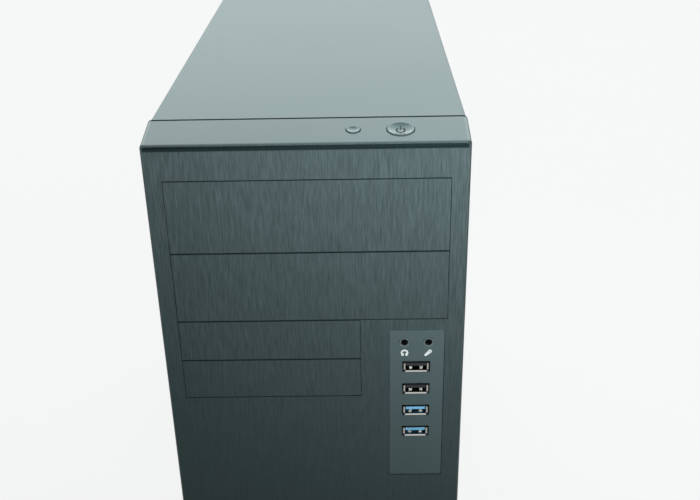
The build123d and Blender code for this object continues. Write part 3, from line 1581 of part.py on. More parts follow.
supply_board_z = supply_top - supply_sheet - supply_board_drop
with BuildPart() as psu_lid:
    cap = Plane(origin=(0, supply_front, supply_top), x_dir=(1, 0, 0), z_dir=(0, 1, 0))
    extrude(channel(cap, supply_width / 2, supply_height, supply_sheet), amount=supply_length)
    with BuildSketch(Plane.XY.offset(supply_board_z)):
        with Locations((0, supply_y)):
            with GridLocations(supply_boss_spread_x, supply_boss_spread_y, 2, 2):
                Circle(supply_boss)
    extrude(amount=supply_board_drop)
write(psu_lid, "psu_lid")

# Power supply's board, hung from the lid, with its transformer, cooling plates and reservoir capacitors
supply_board_low = supply_board_z - board
with BuildPart() as psu_board:
    with BuildSketch(Plane.XY.offset(supply_board_low)):
        with Locations((0, supply_y)):
            Rectangle(supply_board_width, supply_board_length)
    extrude(amount=board)
    with BuildSketch(Plane.XY.offset(supply_board_low)):
        with Locations((0, supply_y)):
            with GridLocations(cooler_plate_spread, 0, 2, 1):
                Rectangle(cooler_plate, cooler_plate_length)
    extrude(amount=-cooler_plate_height)
    with BuildSketch(Plane.XY.offset(supply_board_low)):
        with Locations((0, supply_y)):
            RectangleRounded(coil_size, coil_size, cooler_plate)
    extrude(amount=-coil_height)
    with BuildSketch(Plane.XY.offset(supply_board_low)):
        with Locations((reservoir_x, supply_y)):
            with GridLocations(0, reservoir_spread, 1, 2):
                Circle(reservoir_radius)
    extrude(amount=-reservoir_height)
write(psu_board, "psu_board")

# Mains inlet with its three pins
inlet_face_y = supply_rear + inlet_flange_thick
with BuildPart() as psu_inlet:
    with BuildSketch(facing(inlet_face_y)):
        with Locations((inlet_x, inlet_centre_z)):
            RectangleRounded(inlet_flange_width, inlet_flange_height, inlet_round)
    extrude(amount=inlet_flange_thick)
    with BuildSketch(facing(supply_rear)):
        with Locations((inlet_x, inlet_centre_z)):
            Rectangle(inlet_width, inlet_height)
    extrude(amount=inlet_depth)
    with BuildSketch(facing(inlet_face_y)) as mouth:
        with Locations((inlet_x, inlet_centre_z)):
            Rectangle(inlet_mouth_width, inlet_mouth_height)
        chamfer(mouth.vertices().group_by(Axis.Y)[-1], inlet_corner)
    extrude(amount=inlet_mouth_depth, mode=Mode.SUBTRACT)
write(psu_inlet, "psu_inlet")

with BuildPart() as inlet_pins:
    with BuildSketch(facing(inlet_face_y - inlet_mouth_depth)):
        with Locations((inlet_x, inlet_centre_z - blade_pin_raise)):
            with GridLocations(blade_pin_spread, 0, 2, 1):
                Rectangle(blade_pin_width, blade_pin_height)
        with Locations((inlet_x, inlet_centre_z + blade_pin_raise)):
            Rectangle(blade_pin_width, blade_pin_height)
    extrude(amount=-blade_pin_length)
write(inlet_pins, "inlet_pins")

# Mains switch: a housing with two pivot holes and a rocker on trunnions, tipped to one side
rocker_face_y = supply_rear + rocker_frame_thick
rocker_well_width = rocker_sleeve_width - 2 * rocker_skin
rocker_well_height = rocker_sleeve_height - 2 * rocker_skin
with BuildPart() as psu_switch_housing:
    with BuildSketch(facing(rocker_face_y)):
        with Locations((rocker_x, rocker_centre_z)):
            RectangleRounded(rocker_frame_width, rocker_frame_height, rocker_skin)
    extrude(amount=rocker_frame_thick)
    with BuildSketch(facing(supply_rear)):
        with Locations((rocker_x, rocker_centre_z)):
            Rectangle(rocker_sleeve_width, rocker_sleeve_height)
    extrude(amount=rocker_sleeve_depth)
    with BuildSketch(facing(rocker_face_y)):
        with Locations((rocker_x, rocker_centre_z)):
            Rectangle(rocker_well_width, rocker_well_height)
    extrude(amount=rocker_frame_thick + rocker_sleeve_depth - rocker_skin, mode=Mode.SUBTRACT)
    with BuildSketch(Plane.XY.offset(rocker_centre_z)):
        with Locations((rocker_x, pivot_y)):
            Circle(rocker_pivot + rocker_pivot_gap)
    extrude(amount=rocker_sleeve_height / 2, both=True, mode=Mode.SUBTRACT)
write(psu_switch_housing, "psu_switch_housing")

rocker_end = rocker_length / 2
tipped = Plane(origin=(rocker_x, pivot_y, rocker_centre_z)).rotated((0, 0, rocker_tilt))
with BuildPart() as psu_rocker:
    with BuildSketch(tipped):
        with BuildLine():
            Polyline(
                (-rocker_end, rocker_valley + rocker_rise),
                (0, rocker_valley),
                (rocker_end, rocker_valley + rocker_rise),
                (rocker_end - rocker_taper, -rocker_deep),
                (-rocker_end + rocker_taper, -rocker_deep),
                close=True,
            )
        make_face()
    extrude(amount=rocker_well_height / 2 - rocker_room, both=True)
    with BuildSketch(tipped):
        Circle(rocker_pivot)
    extrude(amount=rocker_well_height / 2 + rocker_pivot_reach, both=True)
write(psu_rocker, "psu_rocker")

# Case screws: power supply, slot covers, motherboard, hard drive and the two front boards
seats = []
for x, z in supply_screw_places + slot_screw_places:
    seats.append((Plane(origin=(x, rear_y, z), x_dir=(-1, 0, 0), z_dir=(0, 1, 0)), steel + screw_grip))
for y, z in hole_places:
    seats.append((Plane(origin=(board_x, y, z), x_dir=(0, 1, 0), z_dir=(-1, 0, 0)), board + screw_grip))
for x, z in post_places:
    board_back = strip_board_y + board
    seats.append((Plane(origin=(x, board_back, z), x_dir=(-1, 0, 0), z_dir=(0, 1, 0)), board + screw_grip))
for side in (-1, 1):
    post_x = switch_board_x + side * switch_post_spread / 2
    seat = brow.from_local_coords((post_x, button_back, -switch_board_drop - board))
    under = Plane(origin=seat, x_dir=(1, 0, 0), z_dir=-brow.z_dir)
    seats.append((under, board + screw_grip))
    for end in (-1, 1):
        wall_point = (
            small_x + side * (small_wall_half + steel),
            hard_drive_y + end * drive_screw_spread / 2,
            hard_drive_screw_z,
        )
        seats.append((Plane(origin=wall_point, x_dir=(0, 1, 0), z_dir=(side, 0, 0)), steel + screw_grip))
write(screws(seats), "case_screws")
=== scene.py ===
import math
import random

import bmesh
import bpy
from mathutils import Matrix, Vector


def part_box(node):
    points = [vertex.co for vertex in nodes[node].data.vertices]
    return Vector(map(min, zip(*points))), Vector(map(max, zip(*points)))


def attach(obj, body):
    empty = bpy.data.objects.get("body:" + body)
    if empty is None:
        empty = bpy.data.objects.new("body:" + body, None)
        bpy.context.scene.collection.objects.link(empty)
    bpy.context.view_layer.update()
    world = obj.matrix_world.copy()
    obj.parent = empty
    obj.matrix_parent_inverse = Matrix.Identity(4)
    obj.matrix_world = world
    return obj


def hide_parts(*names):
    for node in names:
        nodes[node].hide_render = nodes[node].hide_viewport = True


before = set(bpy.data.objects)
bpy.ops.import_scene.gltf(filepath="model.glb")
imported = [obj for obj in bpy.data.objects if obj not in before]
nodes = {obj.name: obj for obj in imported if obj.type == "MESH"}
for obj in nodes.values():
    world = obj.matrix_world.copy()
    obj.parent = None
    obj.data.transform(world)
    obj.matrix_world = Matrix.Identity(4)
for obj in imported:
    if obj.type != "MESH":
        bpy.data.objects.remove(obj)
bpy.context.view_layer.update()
mm = 0.001
print("frame loaded:", len(nodes), "nodes")


class Wire:  # one value on its way through a node tree
    def __init__(self, bench, socket):
        self.bench = bench
        self.socket = socket

    def calc(self, operation, *terms):
        return self.bench.add("ShaderNodeMath", {"operation": operation}, dict(enumerate(terms)))

    def __add__(self, other):
        return self.calc("ADD", self, other)

    def __radd__(self, other):
        return self.calc("ADD", other, self)

    def __sub__(self, other):
        return self.calc("SUBTRACT", self, other)

    def __rsub__(self, other):
        return self.calc("SUBTRACT", other, self)

    def __mul__(self, other):
        return self.calc("MULTIPLY", self, other)

    def __rmul__(self, other):
        return self.calc("MULTIPLY", other, self)

    def __truediv__(self, other):
        return self.calc("DIVIDE", self, other)

    def __rtruediv__(self, other):
        return self.calc("DIVIDE", other, self)

    def __abs__(self):
        return self.calc("ABSOLUTE", self)

    def __lt__(self, other):
        return self.calc("LESS_THAN", self, other)

    def __gt__(self, other):
        return self.calc("GREATER_THAN", self, other)

    def fraction(self):
        return self.calc("FRACT", self)


class Bench:  # where the nodes of one material or world are put together
    def __init__(self, owner):
        owner.use_nodes = True
        self.owner = owner
        self.tree = owner.node_tree
        self.tree.nodes.clear()

    def add(self, kind, settings=None, values=None, out=0):
        node = self.tree.nodes.new(kind)
        for key, value in (settings or {}).items():
            if key == "stops":
                self.setStops(node.color_ramp, value)
            else:
                setattr(node, key, value)
        for key, value in (values or {}).items():
            if isinstance(value, Wire):
                self.tree.links.new(value.socket, node.inputs[key])
            else:
                node.inputs[key].default_value = value
        return Wire(self, node.outputs[out]) if len(node.outputs) else None

    def setStops(self, ramp, stops):
        while len(ramp.elements) < len(stops):
            ramp.elements.new(0.5)
        for element, (place, tone) in zip(ramp.elements, stops):
            element.position = place
            element.color = (*tone, 1)

    def place(self):  # position in the tower's own frame, in metres
        return self.add("ShaderNodeTexCoord", None, None, "Object")

    def facing(self):
        return self.split(self.add("ShaderNodeNewGeometry", None, None, "Normal"))

    def ray(self, kind):
        return self.add("ShaderNodeLightPath", None, None, kind)

    def split(self, vector):
        first = self.add("ShaderNodeSeparateXYZ", None, {0: vector})
        return [Wire(self, socket) for socket in first.socket.node.outputs]

    def stretch(self, vector, factors, shift=(0, 0, 0)):
        scaled = self.add("ShaderNodeVectorMath", {"operation": "MULTIPLY"}, {0: vector, 1: factors})
        return self.add("ShaderNodeVectorMath", {"operation": "ADD"}, {0: scaled, 1: shift})

    def noise(self, vector, scale=1.0, detail=3.0, rough=0.55):
        values = {"Vector": vector, "Scale": scale, "Detail": detail, "Roughness": rough}
        return self.add("ShaderNodeTexNoise", None, values)

    def near(self, value, target, reach):
        return self.add("ShaderNodeMath", {"operation": "COMPARE"}, {0: value, 1: target, 2: reach})

    def slope(self, value, start, end, low=0.0, high=1.0):
        values = {"Value": value, "From Min": start, "From Max": end, "To Min": low, "To Max": high}
        return self.add("ShaderNodeMapRange", {"interpolation_type": "SMOOTHSTEP"}, values)

    def ramp(self, value, stops):
        return self.add("ShaderNodeValToRGB", {"stops": stops}, {0: value})

    def blend(self, share, first, second):  # two values, the first with the given share
        return first * share + second * (1 - share)

    def mix(self, share, first, second):  # two colours, from the first to the second
        tones = {0: share, 6: self.tone(first), 7: self.tone(second)}
        return self.add("ShaderNodeMix", {"data_type": "RGBA"}, tones, 2)

    def tone(self, value):
        return value if isinstance(value, Wire) else (*value[:3], 1)

    def bump(self, height, relief):  # relief: strength, and depth in metres
        values = {"Height": height, "Strength": relief[0], "Distance": relief[1]}
        return self.add("ShaderNodeBump", None, values)

    def surface(self, values):
        shader = self.add("ShaderNodeBsdfPrincipled", None, values)
        self.add("ShaderNodeOutputMaterial", None, {"Surface": shader})
        return self.owner


def newFinish(name):
    bench = Bench(bpy.data.materials.new(name))
    return bench, bench.place()


def addObject(name, data):
    holder = bpy.data.objects.new(name, data)
    bpy.context.scene.collection.objects.link(holder)
    return holder


# Camera at the photograph's viewpoint, in millimetres
cameraSet = {
    "place": (28.68, -652.31, 516.89),
    "right": (0.99981071, 0.00646261, -0.01835171),
    "down": (-0.01352652, -0.44710253, -0.89438044),
    "ahead": (-0.01398512, 0.89445937, -0.44693048),
    "lens": 48.811,
    "sensor": 36.0,
    "nearest": 0.01,
}


def setCamera(conf):
    data = bpy.data.cameras.new("viewpoint")
    data.sensor_fit = "HORIZONTAL"
    data.sensor_width = conf["sensor"]
    data.lens = conf["lens"]
    data.clip_start = conf["nearest"]
    camera = addObject("viewpoint", data)
    axes = Matrix((Vector(conf["right"]), -Vector(conf["down"]), -Vector(conf["ahead"])))
    turned = axes.transposed().to_4x4()
    camera.matrix_world = Matrix.Translation(Vector(conf["place"]) * mm) @ turned
    bpy.context.scene.camera = camera


setCamera(cameraSet)
print("camera set")


# Floor, world and lamps
stageSet = {
    "floorTone": (0.60, 0.62, 0.62),
    "floorPale": (0.66, 0.68, 0.68),
    "floorCloud": 3.0,
    "floorReach": 6.0,
    "floorWhite": 0.85,  # share of plain white that the camera sees on the floor
    "floorGloss": 0.60,  # and that polished surfaces see
    "backLight": 1.0,
    "frontLight": 0.03,
    "lightFrom": -0.25,  # the sky brightens between these two, towards the rear
    "lightFull": 0.35,
    "lightTone": (0.90, 1.0, 1.0),
}
lampSet = (
    # name, place, aim, size x, size y, watts, spread, shows in gloss
    ("backPanel", (0.1, 1.5, 1.5), (0.0, 0.0, 0.35), 3.2, 2.2, 18.0, 180, True),
    ("frontSoft", (0.14, -0.57, 0.54), (0.21, -0.2, 0.60), 0.3, 0.2, 4.5, 130, False),
    ("sideSoft", (1.3, -0.2, 0.9), (0.08, 0.0, 0.25), 1.0, 1.0, 0.6, 180, True),
)


def setFloor(conf):
    data = bpy.data.meshes.new("floor")
    reach = conf["floorReach"]
    corners = [(-reach, -reach, 0), (reach, -reach, 0), (reach, reach, 0), (-reach, reach, 0)]
    data.from_pydata(corners, [], [(0, 1, 2, 3)])
    floor = addObject("floor", data)
    bench, point = newFinish("paleFloor")
    cloud = bench.noise(point, conf["floorCloud"], 2.0)
    tone = bench.mix(cloud, conf["floorTone"], conf["floorPale"])
    matte = bench.add("ShaderNodeBsdfDiffuse", None, {"Color": tone})
    white = bench.add("ShaderNodeEmission", None, {"Color": (1, 1, 1, 1), "Strength": 1.0})
    mirrored = bench.ray("Is Glossy Ray") + bench.ray("Is Transmission Ray")
    share = bench.ray("Is Camera Ray") * conf["floorWhite"] + mirrored * conf["floorGloss"]
    mixed = bench.add("ShaderNodeMixShader", None, {0: share, 1: matte, 2: white})
    bench.add("ShaderNodeOutputMaterial", None, {"Surface": mixed})
    data.materials.append(bench.owner)


def setSky(conf):
    world = bpy.data.worlds.new("studio")
    bpy.context.scene.world = world
    bench = Bench(world)
    rearward = bench.split(bench.add("ShaderNodeTexCoord", None, None, "Generated"))[1]
    levels = (conf["frontLight"], conf["backLight"])
    level = bench.slope(rearward, conf["lightFrom"], conf["lightFull"], *levels)
    seen = bench.ray("Is Camera Ray")
    strength = level * (1 - seen) + seen
    tone = bench.mix(seen, conf["lightTone"], (1, 1, 1))
    glow = bench.add("ShaderNodeBackground", None, {"Color": tone, "Strength": strength})
    bench.add("ShaderNodeOutputWorld", None, {"Surface": glow})


def setLamps(conf, lamps):
    for name, place, aim, sizeX, sizeY, watts, spread, inGloss in lamps:
        lamp = bpy.data.lights.new(name, "AREA")
        lamp.shape = "RECTANGLE"
        lamp.size = sizeX
        lamp.size_y = sizeY
        lamp.energy = watts
        lamp.color = conf["lightTone"]
        lamp.spread = math.radians(spread)
        holder = addObject(name, lamp)
        holder.location = place
        holder.rotation_euler = (Vector(aim) - Vector(place)).to_track_quat("-Z", "Y").to_euler()
        holder.visible_glossy = inGloss
        holder.visible_camera = False


setFloor(stageSet)
setSky(stageSet)
setLamps(stageSet, lampSet)
bpy.context.scene.view_settings.view_transform = "Standard"
print("stage set")


# Brushed front: streaks run up and down on the flat face, the rim and sides stay satin, upward faces
# get painted light
brushedSet = {
    "faceY": -0.2002,
    "faceBand": 0.00025,
    "dark": (0.0342, 0.0428, 0.0450),
    "light": (0.0860, 0.1070, 0.112),
    "satin": (0.0078, 0.0116, 0.0123),
    # painted light: faces that look up get the paler top tone instead of the satin one
    "top": (0.054, 0.070, 0.072),
    "streakWidth": 0.0009,
    "streakLength": 0.015,
    "streakNoise": (4, 0.6),  # detail and roughness
    "streakShare": 0.56,  # the fine streaks have the rest
    "fineWidth": 0.00038,
    "fineLength": 0.008,
    "fineNoise": (2, 0.5),
    "darkAt": 0.34,  # values of the streaks that get the dark and the light tone
    "lightAt": 0.68,
    "strokeWidth": 0.0005,
    "strokeLength": 0.010,
    "strokeNoise": (1, 0.55),
    "strokeFrom": 0.60,
    "strokeFull": 0.70,
    "strokeShade": 0.55,
    "cloud": 14,
    "cloudShade": 0.12,
    "fadeLow": 0.13,  # painted light: the streaks' glints grow fainter downwards between these heights, away from the light above
    "fadeHigh": 0.33,
    "fadeLeast": 0.5,
    "edgeShade": 0.00035,  # painted shade in the gaps along the covers' edges, this wide
    "grain": 2600,
    "grainHeight": 0.1,
    "relief": (0.55, 0.00012),
    "rough": 0.30,
    "faceRough": 0.08,
    "fineRough": 0.16,
    "grainRough": 0.08,
    "seamRough": 0.65,
    "gloss": 0.35,
    "tint": (0.5, 1.0, 1.0, 1.0),
    # painted shade: behind this the top keeps the dark satin tone, as the seam's shadow
    "seamY": -0.1746,
    "topFrom": 0.62,  # the upright part of the normal at which the top's painted light sets in
    "topFull": 0.90,
    "sheen": 1.0,  # clear coat on the sloping top
    "sheenRough": 0.2,
}


def brushedFinish(conf, shift, box):
    bench, point = newFinish("brushedFront")
    x, y, z = bench.split(point)

    def streaks(kind):
        step = (1 / conf[kind + "Width"], 1, 1 / conf[kind + "Length"])
        return bench.noise(bench.stretch(point, step, shift), 1, *conf[kind + "Noise"])

    face = bench.near(y, conf["faceY"], conf["faceBand"])
    fine = streaks("fine")
    streak = bench.blend(conf["streakShare"], streaks("streak"), fine)
    stroke = bench.slope(streaks("stroke"), conf["strokeFrom"], conf["strokeFull"])
    cloud = bench.noise(point, conf["cloud"], 2)
    # painted light: the streaks stand out most near the top, where the light above grazes them
    fade = bench.slope(z, conf["fadeLow"], conf["fadeHigh"], conf["fadeLeast"], 1.0)
    stops = ((conf["darkAt"], conf["dark"]), (conf["lightAt"], conf["light"]))
    tone = bench.ramp((streak - 0.5) * fade + 0.5, stops)
    shade = cloud * conf["cloudShade"] + stroke * fade * conf["strokeShade"]
    tone = bench.mix(shade, tone, conf["dark"])
    # painted shade: a band along the covers' edges takes the dark satin tone, as shade in the gaps
    middle = [(low + high) / 2 for low, high in zip(*box)]
    reach = [(high - low) / 2 - conf["edgeShade"] for low, high in zip(*box)]
    edge = (abs(x - middle[0]) > reach[0]) + (abs(z - middle[2]) > reach[2])
    tone = bench.mix(edge, tone, conf["satin"])
    # painted shade: the top's rear edge at the seam keeps the satin tone and turns rough
    seam = y > conf["seamY"]
    # painted light: faces that look up take the paler top tone; they also carry the clear coat
    upward = bench.slope(bench.facing()[2], conf["topFrom"], conf["topFull"]) * (1 - seam)
    tone = bench.mix(face, bench.mix(upward, conf["satin"], conf["top"]), tone)
    grain = bench.noise(point, conf["grain"], 2)
    height = streak * face + grain * (1 - face) * conf["grainHeight"]
    rough = conf["rough"] + face * conf["faceRough"] + fine * face * conf["fineRough"]
    return bench.surface({
        "Base Color": tone,
        "Roughness": rough + grain * conf["grainRough"] + seam * conf["seamRough"],
        "Specular IOR Level": conf["gloss"],
        "Specular Tint": conf["tint"],
        "Coat Weight": upward * conf["sheen"],
        "Coat Roughness": conf["sheenRough"],
        "Normal": bench.bump(height, conf["relief"]),
    })


# Smooth satin mouldings
satinSet = {
    "tone": (0.051, 0.071, 0.075),
    "pale": (0.063, 0.086, 0.090),
    "cloud": 25,
    "grain": 2400,
    "relief": (0.35, 0.00003),
    "rough": 0.36,
    "grainRough": 0.12,
    "gloss": 0.45,
    "tint": (0.5, 1.0, 1.0, 1.0),
    "sheen": 0.0,
}
stripSet = {**satinSet, "tone": (0.081, 0.102, 0.108), "pale": (0.093, 0.116, 0.122)}
footSet = {**satinSet, "rough": 0.45}
capSet = {
    **satinSet,
    "tone": (0.040, 0.056, 0.058),
    "pale": (0.048, 0.066, 0.068),
    "rough": 0.16,
    "gloss": 0.5,
    "sheen": 1.0,
}


def satinFinish(name, conf):
    bench, point = newFinish(name)
    grain = bench.noise(point, conf["grain"], 3)
    cloud = bench.noise(point, conf["cloud"], 2)
    return bench.surface({
        "Base Color": bench.mix(cloud, conf["tone"], conf["pale"]),
        "Roughness": conf["rough"] + grain * conf["grainRough"],
        "Specular IOR Level": conf["gloss"],
        "Specular Tint": conf["tint"],
        "Coat Weight": conf["sheen"],
        "Normal": bench.bump(grain, conf["relief"]),
    })


# Powder-painted sheet
paintSet = {
    "tone": (0.052, 0.070, 0.072),
    "pale": (0.063, 0.083, 0.085),
    "cloud": 9,
    "cloudShare": 0.8,  # the grain has the rest
    "peel": 900,
    "peelShare": 0.7,
    "grain": 5200,
    "relief": (0.4, 0.00004),
    "rough": 0.33,
    "grainRough": 0.10,
    "cloudRough": 0.05,
    "seamRough": 0.6,
    "tint": (0.5, 1.0, 1.0, 1.0),
    "seamY": -0.1721,  # the front edges lie in the shadow of the seam
    "seam": (0.008, 0.010, 0.010),
    "sheen": 0.40,
    "sheenRough": 0.28,
}
supplySet = {
    **paintSet,
    "tone": (0.030, 0.031, 0.033),
    "pale": (0.040, 0.041, 0.043),
    "rough": 0.42,
    "tint": (1, 1, 1, 1),
    "sheen": 0.0,
}


def paintFinish(name, conf):
    bench, point = newFinish(name)
    # painted shadow of the seam: the sheet's front edges take the dark seam tone
    edge = bench.split(point)[1] < conf["seamY"]
    peel = bench.noise(point, conf["peel"], 2)
    grain = bench.noise(point, conf["grain"], 2)
    cloud = bench.noise(point, conf["cloud"], 3)
    tone = bench.mix(bench.blend(conf["cloudShare"], cloud, grain), conf["tone"], conf["pale"])
    rough = conf["rough"] + grain * conf["grainRough"] + cloud * conf["cloudRough"]
    return bench.surface({
        "Base Color": bench.mix(edge, tone, conf["seam"]),
        "Roughness": rough + edge * conf["seamRough"],
        "Specular Tint": conf["tint"],
        "Coat Weight": (1 - edge) * conf["sheen"],
        "Coat Roughness": conf["sheenRough"],
        "Normal": bench.bump(bench.blend(conf["peelShare"], peel, grain), conf["relief"]),
    })


# Zinc-plated sheet with faint crystals
zincSet = {
    "tone": (0.50, 0.52, 0.53),
    "dull": (0.40, 0.42, 0.44),
    "crystal": 130,
    "crystalShare": 0.6,
    "brush": (40, 40, 1500),
    "metal": 0.9,
    "rough": 0.32,
    "crystalRough": 0.10,
    "brushRough": 0.08,
    "relief": (0.15, 0.00003),
}


def zincFinish(name, conf):
    bench, point = newFinish(name)
    values = {"Vector": point, "Scale": conf["crystal"]}
    shade = bench.split(bench.add("ShaderNodeTexVoronoi", None, values, "Color"))[0]
    brush = bench.noise(bench.stretch(point, conf["brush"]), 1, 3)
    share = bench.blend(conf["crystalShare"], shade, brush)
    return bench.surface({
        "Base Color": bench.mix(share, conf["dull"], conf["tone"]),
        "Metallic": conf["metal"],
        "Roughness": conf["rough"] + shade * conf["crystalRough"] + brush * conf["brushRough"],
        "Normal": bench.bump(brush, conf["relief"]),
    })


# Bare and plated metals
metalSet = {
    "grain": 3000,
    "stretch": (1, 1, 1),
    "cloud": 60,
    "markShare": 0.5,
    "dull": 0.82,  # the darkest places, as a share of the tone
    "markRough": 0.12,
    "relief": (0.12, 0.00002),
}


def metalFinish(name, tone, rough, **own):
    conf = {**metalSet, **own}
    bench, point = newFinish(name)
    mark = bench.noise(bench.stretch(point, conf["stretch"]), conf["grain"], 3)
    cloud = bench.noise(point, conf["cloud"], 2)
    dull = tuple(value * conf["dull"] for value in tone)
    return bench.surface({
        "Base Color": bench.mix(bench.blend(conf["markShare"], mark, cloud), dull, tone),
        "Metallic": 1.0,
        "Roughness": rough + mark * conf["markRough"],
        "Normal": bench.bump(mark, conf["relief"]),
    })


# Moulded insulators, inks and lacquers of any colour
mouldedSet = {
    "spread": 0.25,  # how much paler the palest places are
    "lift": 0.004,
    "grain": 1800,
    "cloud": 80,
    "cloudShare": 0.7,
    "grainRough": 0.15,
    "relief": (0.3, 0.00003),
}


def mouldedFinish(name, tone, rough=0.42, **own):
    conf = {**mouldedSet, **own}
    bench, point = newFinish(name)
    grain = bench.noise(point, conf["grain"], 3)
    cloud = bench.noise(point, conf["cloud"], 2)
    pale = tuple(min(1.0, value * (1 + conf["spread"]) + conf["lift"]) for value in tone)
    return bench.surface({
        "Base Color": bench.mix(bench.blend(conf["cloudShare"], cloud, grain), tone, pale),
        "Roughness": rough + grain * conf["grainRough"],
        "Normal": bench.bump(grain, conf["relief"]),
    })


# Circuit boards: solder mask over copper tracks
boardSet = {
    "mask": (0.006, 0.055, 0.030),
    "track": (0.016, 0.110, 0.060),
    "pad": (0.62, 0.50, 0.20),
    "cell": 55,
    "lean": (0.2, 0.7),  # slant of the tracks in the two kinds of cell
    "pitch": 0.0016,
    "trackHalf": 0.22,
    "trackFrom": 0.35,  # cells above this have tracks
    "dots": 320.0,
    "dotScatter": 0.6,
    "padSize": 0.20,
    "padBelow": 0.28,  # cells below this have pads
    "padMetal": 0.9,
    "rough": 0.34,
    "padRough": 0.08,
    "trackRough": 0.05,
    "trackHeight": 0.6,
    "relief": (0.3, 0.00004),
}


def boardFinish(conf):
    bench, point = newFinish("circuitBoard")
    x, y, z = bench.split(point)
    values = {"Vector": point, "Scale": conf["cell"]}
    cell = bench.add("ShaderNodeTexVoronoi", {"distance": "CHEBYCHEV"}, values, "Color")
    turn, share = bench.split(cell)[:2]
    level, upright = conf["lean"]
    along = (y + z * level) * (turn > 0.5) + (z + x * upright) * (turn < 0.5)
    wave = (along / conf["pitch"]).fraction()
    track = (abs(wave - 0.5) < conf["trackHalf"]) * (share > conf["trackFrom"])
    values = {"Vector": point, "Scale": conf["dots"], "Randomness": conf["dotScatter"]}
    dots = bench.add("ShaderNodeTexVoronoi", None, values)
    pad = (dots < conf["padSize"]) * (share < conf["padBelow"])
    tone = bench.mix(track, conf["mask"], conf["track"])
    return bench.surface({
        "Base Color": bench.mix(pad, tone, conf["pad"]),
        "Metallic": pad * conf["padMetal"],
        "Roughness": conf["rough"] - pad * conf["padRough"] + track * conf["trackRough"],
        "Normal": bench.bump(track * conf["trackHeight"] + pad, conf["relief"]),
    })


# Metal-shelled sockets with dark insides
socketSet = {
    "shell": (0.62, 0.62, 0.61),
    "worn": (0.50, 0.50, 0.50),
    "inside": (0.020, 0.020, 0.022),
    "rearY": 0.1922,
    "lip": 0.0006,
    "facing": 0.5,  # only what looks to the rear is dark inside
    "grain": 900,
    "rough": 0.30,
    "markRough": 0.15,
    "insideRough": 0.2,
    "relief": (0.1, 0.00002),
}


def socketFinish(conf):
    bench, point = newFinish("socketShells")
    mark = bench.noise(point, conf["grain"], 3)
    inner = bench.split(point)[1] < conf["rearY"] - conf["lip"]
    deep = inner * (bench.facing()[1] > conf["facing"])
    shell = bench.mix(mark, conf["shell"], conf["worn"])
    return bench.surface({
        "Base Color": bench.mix(deep, shell, conf["inside"]),
        "Metallic": 1 - deep,
        "Roughness": conf["rough"] + mark * conf["markRough"] + deep * conf["insideRough"],
        "Normal": bench.bump(mark, conf["relief"]),
    })


# Front sockets: lips of bright sheet with painted shade on the upper one and around them, spring
# fingers painted pale as glints
lipSet = {
    "bright": (0.80, 0.79, 0.75),
    "dull": (0.66, 0.65, 0.62),
    "dark": (0.020, 0.021, 0.022),
    # painted highlight: the spring fingers, of the shell's metal, drawn pale and not metal so they
    # show as glints
    "fingerGlint": (1.0, 0.98, 0.92),
    "half": 0.00345,  # half of a socket's height
    "pitch": 0.015,
    "ahead": 4.5,  # whole and half pitches that keep the fraction positive
    # painted shade: the upper lip above this height, the gap around the shell beyond the edge, the
    # side lips in part, the lower corners
    "upper": 0.0023,
    "edge": 0.0070,
    "sideFrom": 0.0062,
    "sideShade": 0.35,
    "cornerSide": 0.0061,
    "cornerTop": -0.0019,
    "mouthY": -0.1978,
    "fingerTop": -0.0019,
    "fingerFoot": -0.0024,
    "grain": 3000,
    "rough": 0.18,
    "markRough": 0.12,
    "fingerRough": 0.2,
    "relief": (0.12, 0.00002),
}


def lipFinish(conf, box):
    bench, point = newFinish("socketLips")
    x, y, z = bench.split(point)
    middle = (box[0][0] + box[1][0]) / 2
    first = box[1][2] - conf["half"]
    turn = ((z - first) / conf["pitch"] + conf["ahead"]).fraction()
    height = (turn - 0.5) * conf["pitch"]  # above the middle of each socket
    mark = bench.noise(point, conf["grain"], 3)
    side = abs(x - middle)
    # painted shade on the upper lip, in the gap around the shell, in its lower corners and in part on
    # the side lips
    corner = (side > conf["cornerSide"]) * (height < conf["cornerTop"])
    dark = (height > conf["upper"]) + (side > conf["edge"]) + corner
    # painted highlight: the spring fingers behind the mouth are drawn pale and not metal, as glints
    fingerGlint = (y > conf["mouthY"]) * (height < conf["fingerTop"]) * (height > conf["fingerFoot"])
    tone = bench.mix(mark, conf["dull"], conf["bright"])
    shade = (side > conf["sideFrom"]) * conf["sideShade"]
    tone = bench.mix(dark + shade, tone, conf["dark"])
    return bench.surface({
        "Base Color": bench.mix(fingerGlint, tone, conf["fingerGlint"]),
        "Metallic": 1 - fingerGlint,
        "Roughness": conf["rough"] + mark * conf["markRough"] + fingerGlint * conf["fingerRough"],
        "Normal": bench.bump(mark, conf["relief"]),
    })


# Sound sockets: painted shade in the countersink, with a lit crescent at its lower wall, inside a thin
# pale ring
jackSet = {
    "ring": (0.19, 0.23, 0.235),
    "lit": (0.085, 0.105, 0.110),
    # painted shade inside the countersink
    "dark": (0.008, 0.009, 0.009),
    "height": 0.2324,
    "spread": 0.00675,
    "inner": 0.00240,
    # the painted shade is a circle of this radius, raised by the lift, leaving a lit crescent at the
    # lower wall
    "shade": 0.00215,
    "lift": 0.00055,
    "mouthY": -0.1996,
    "grain": 1800,
    "rough": 0.34,
    "grainRough": 0.15,
    "relief": (0.3, 0.00003),
}


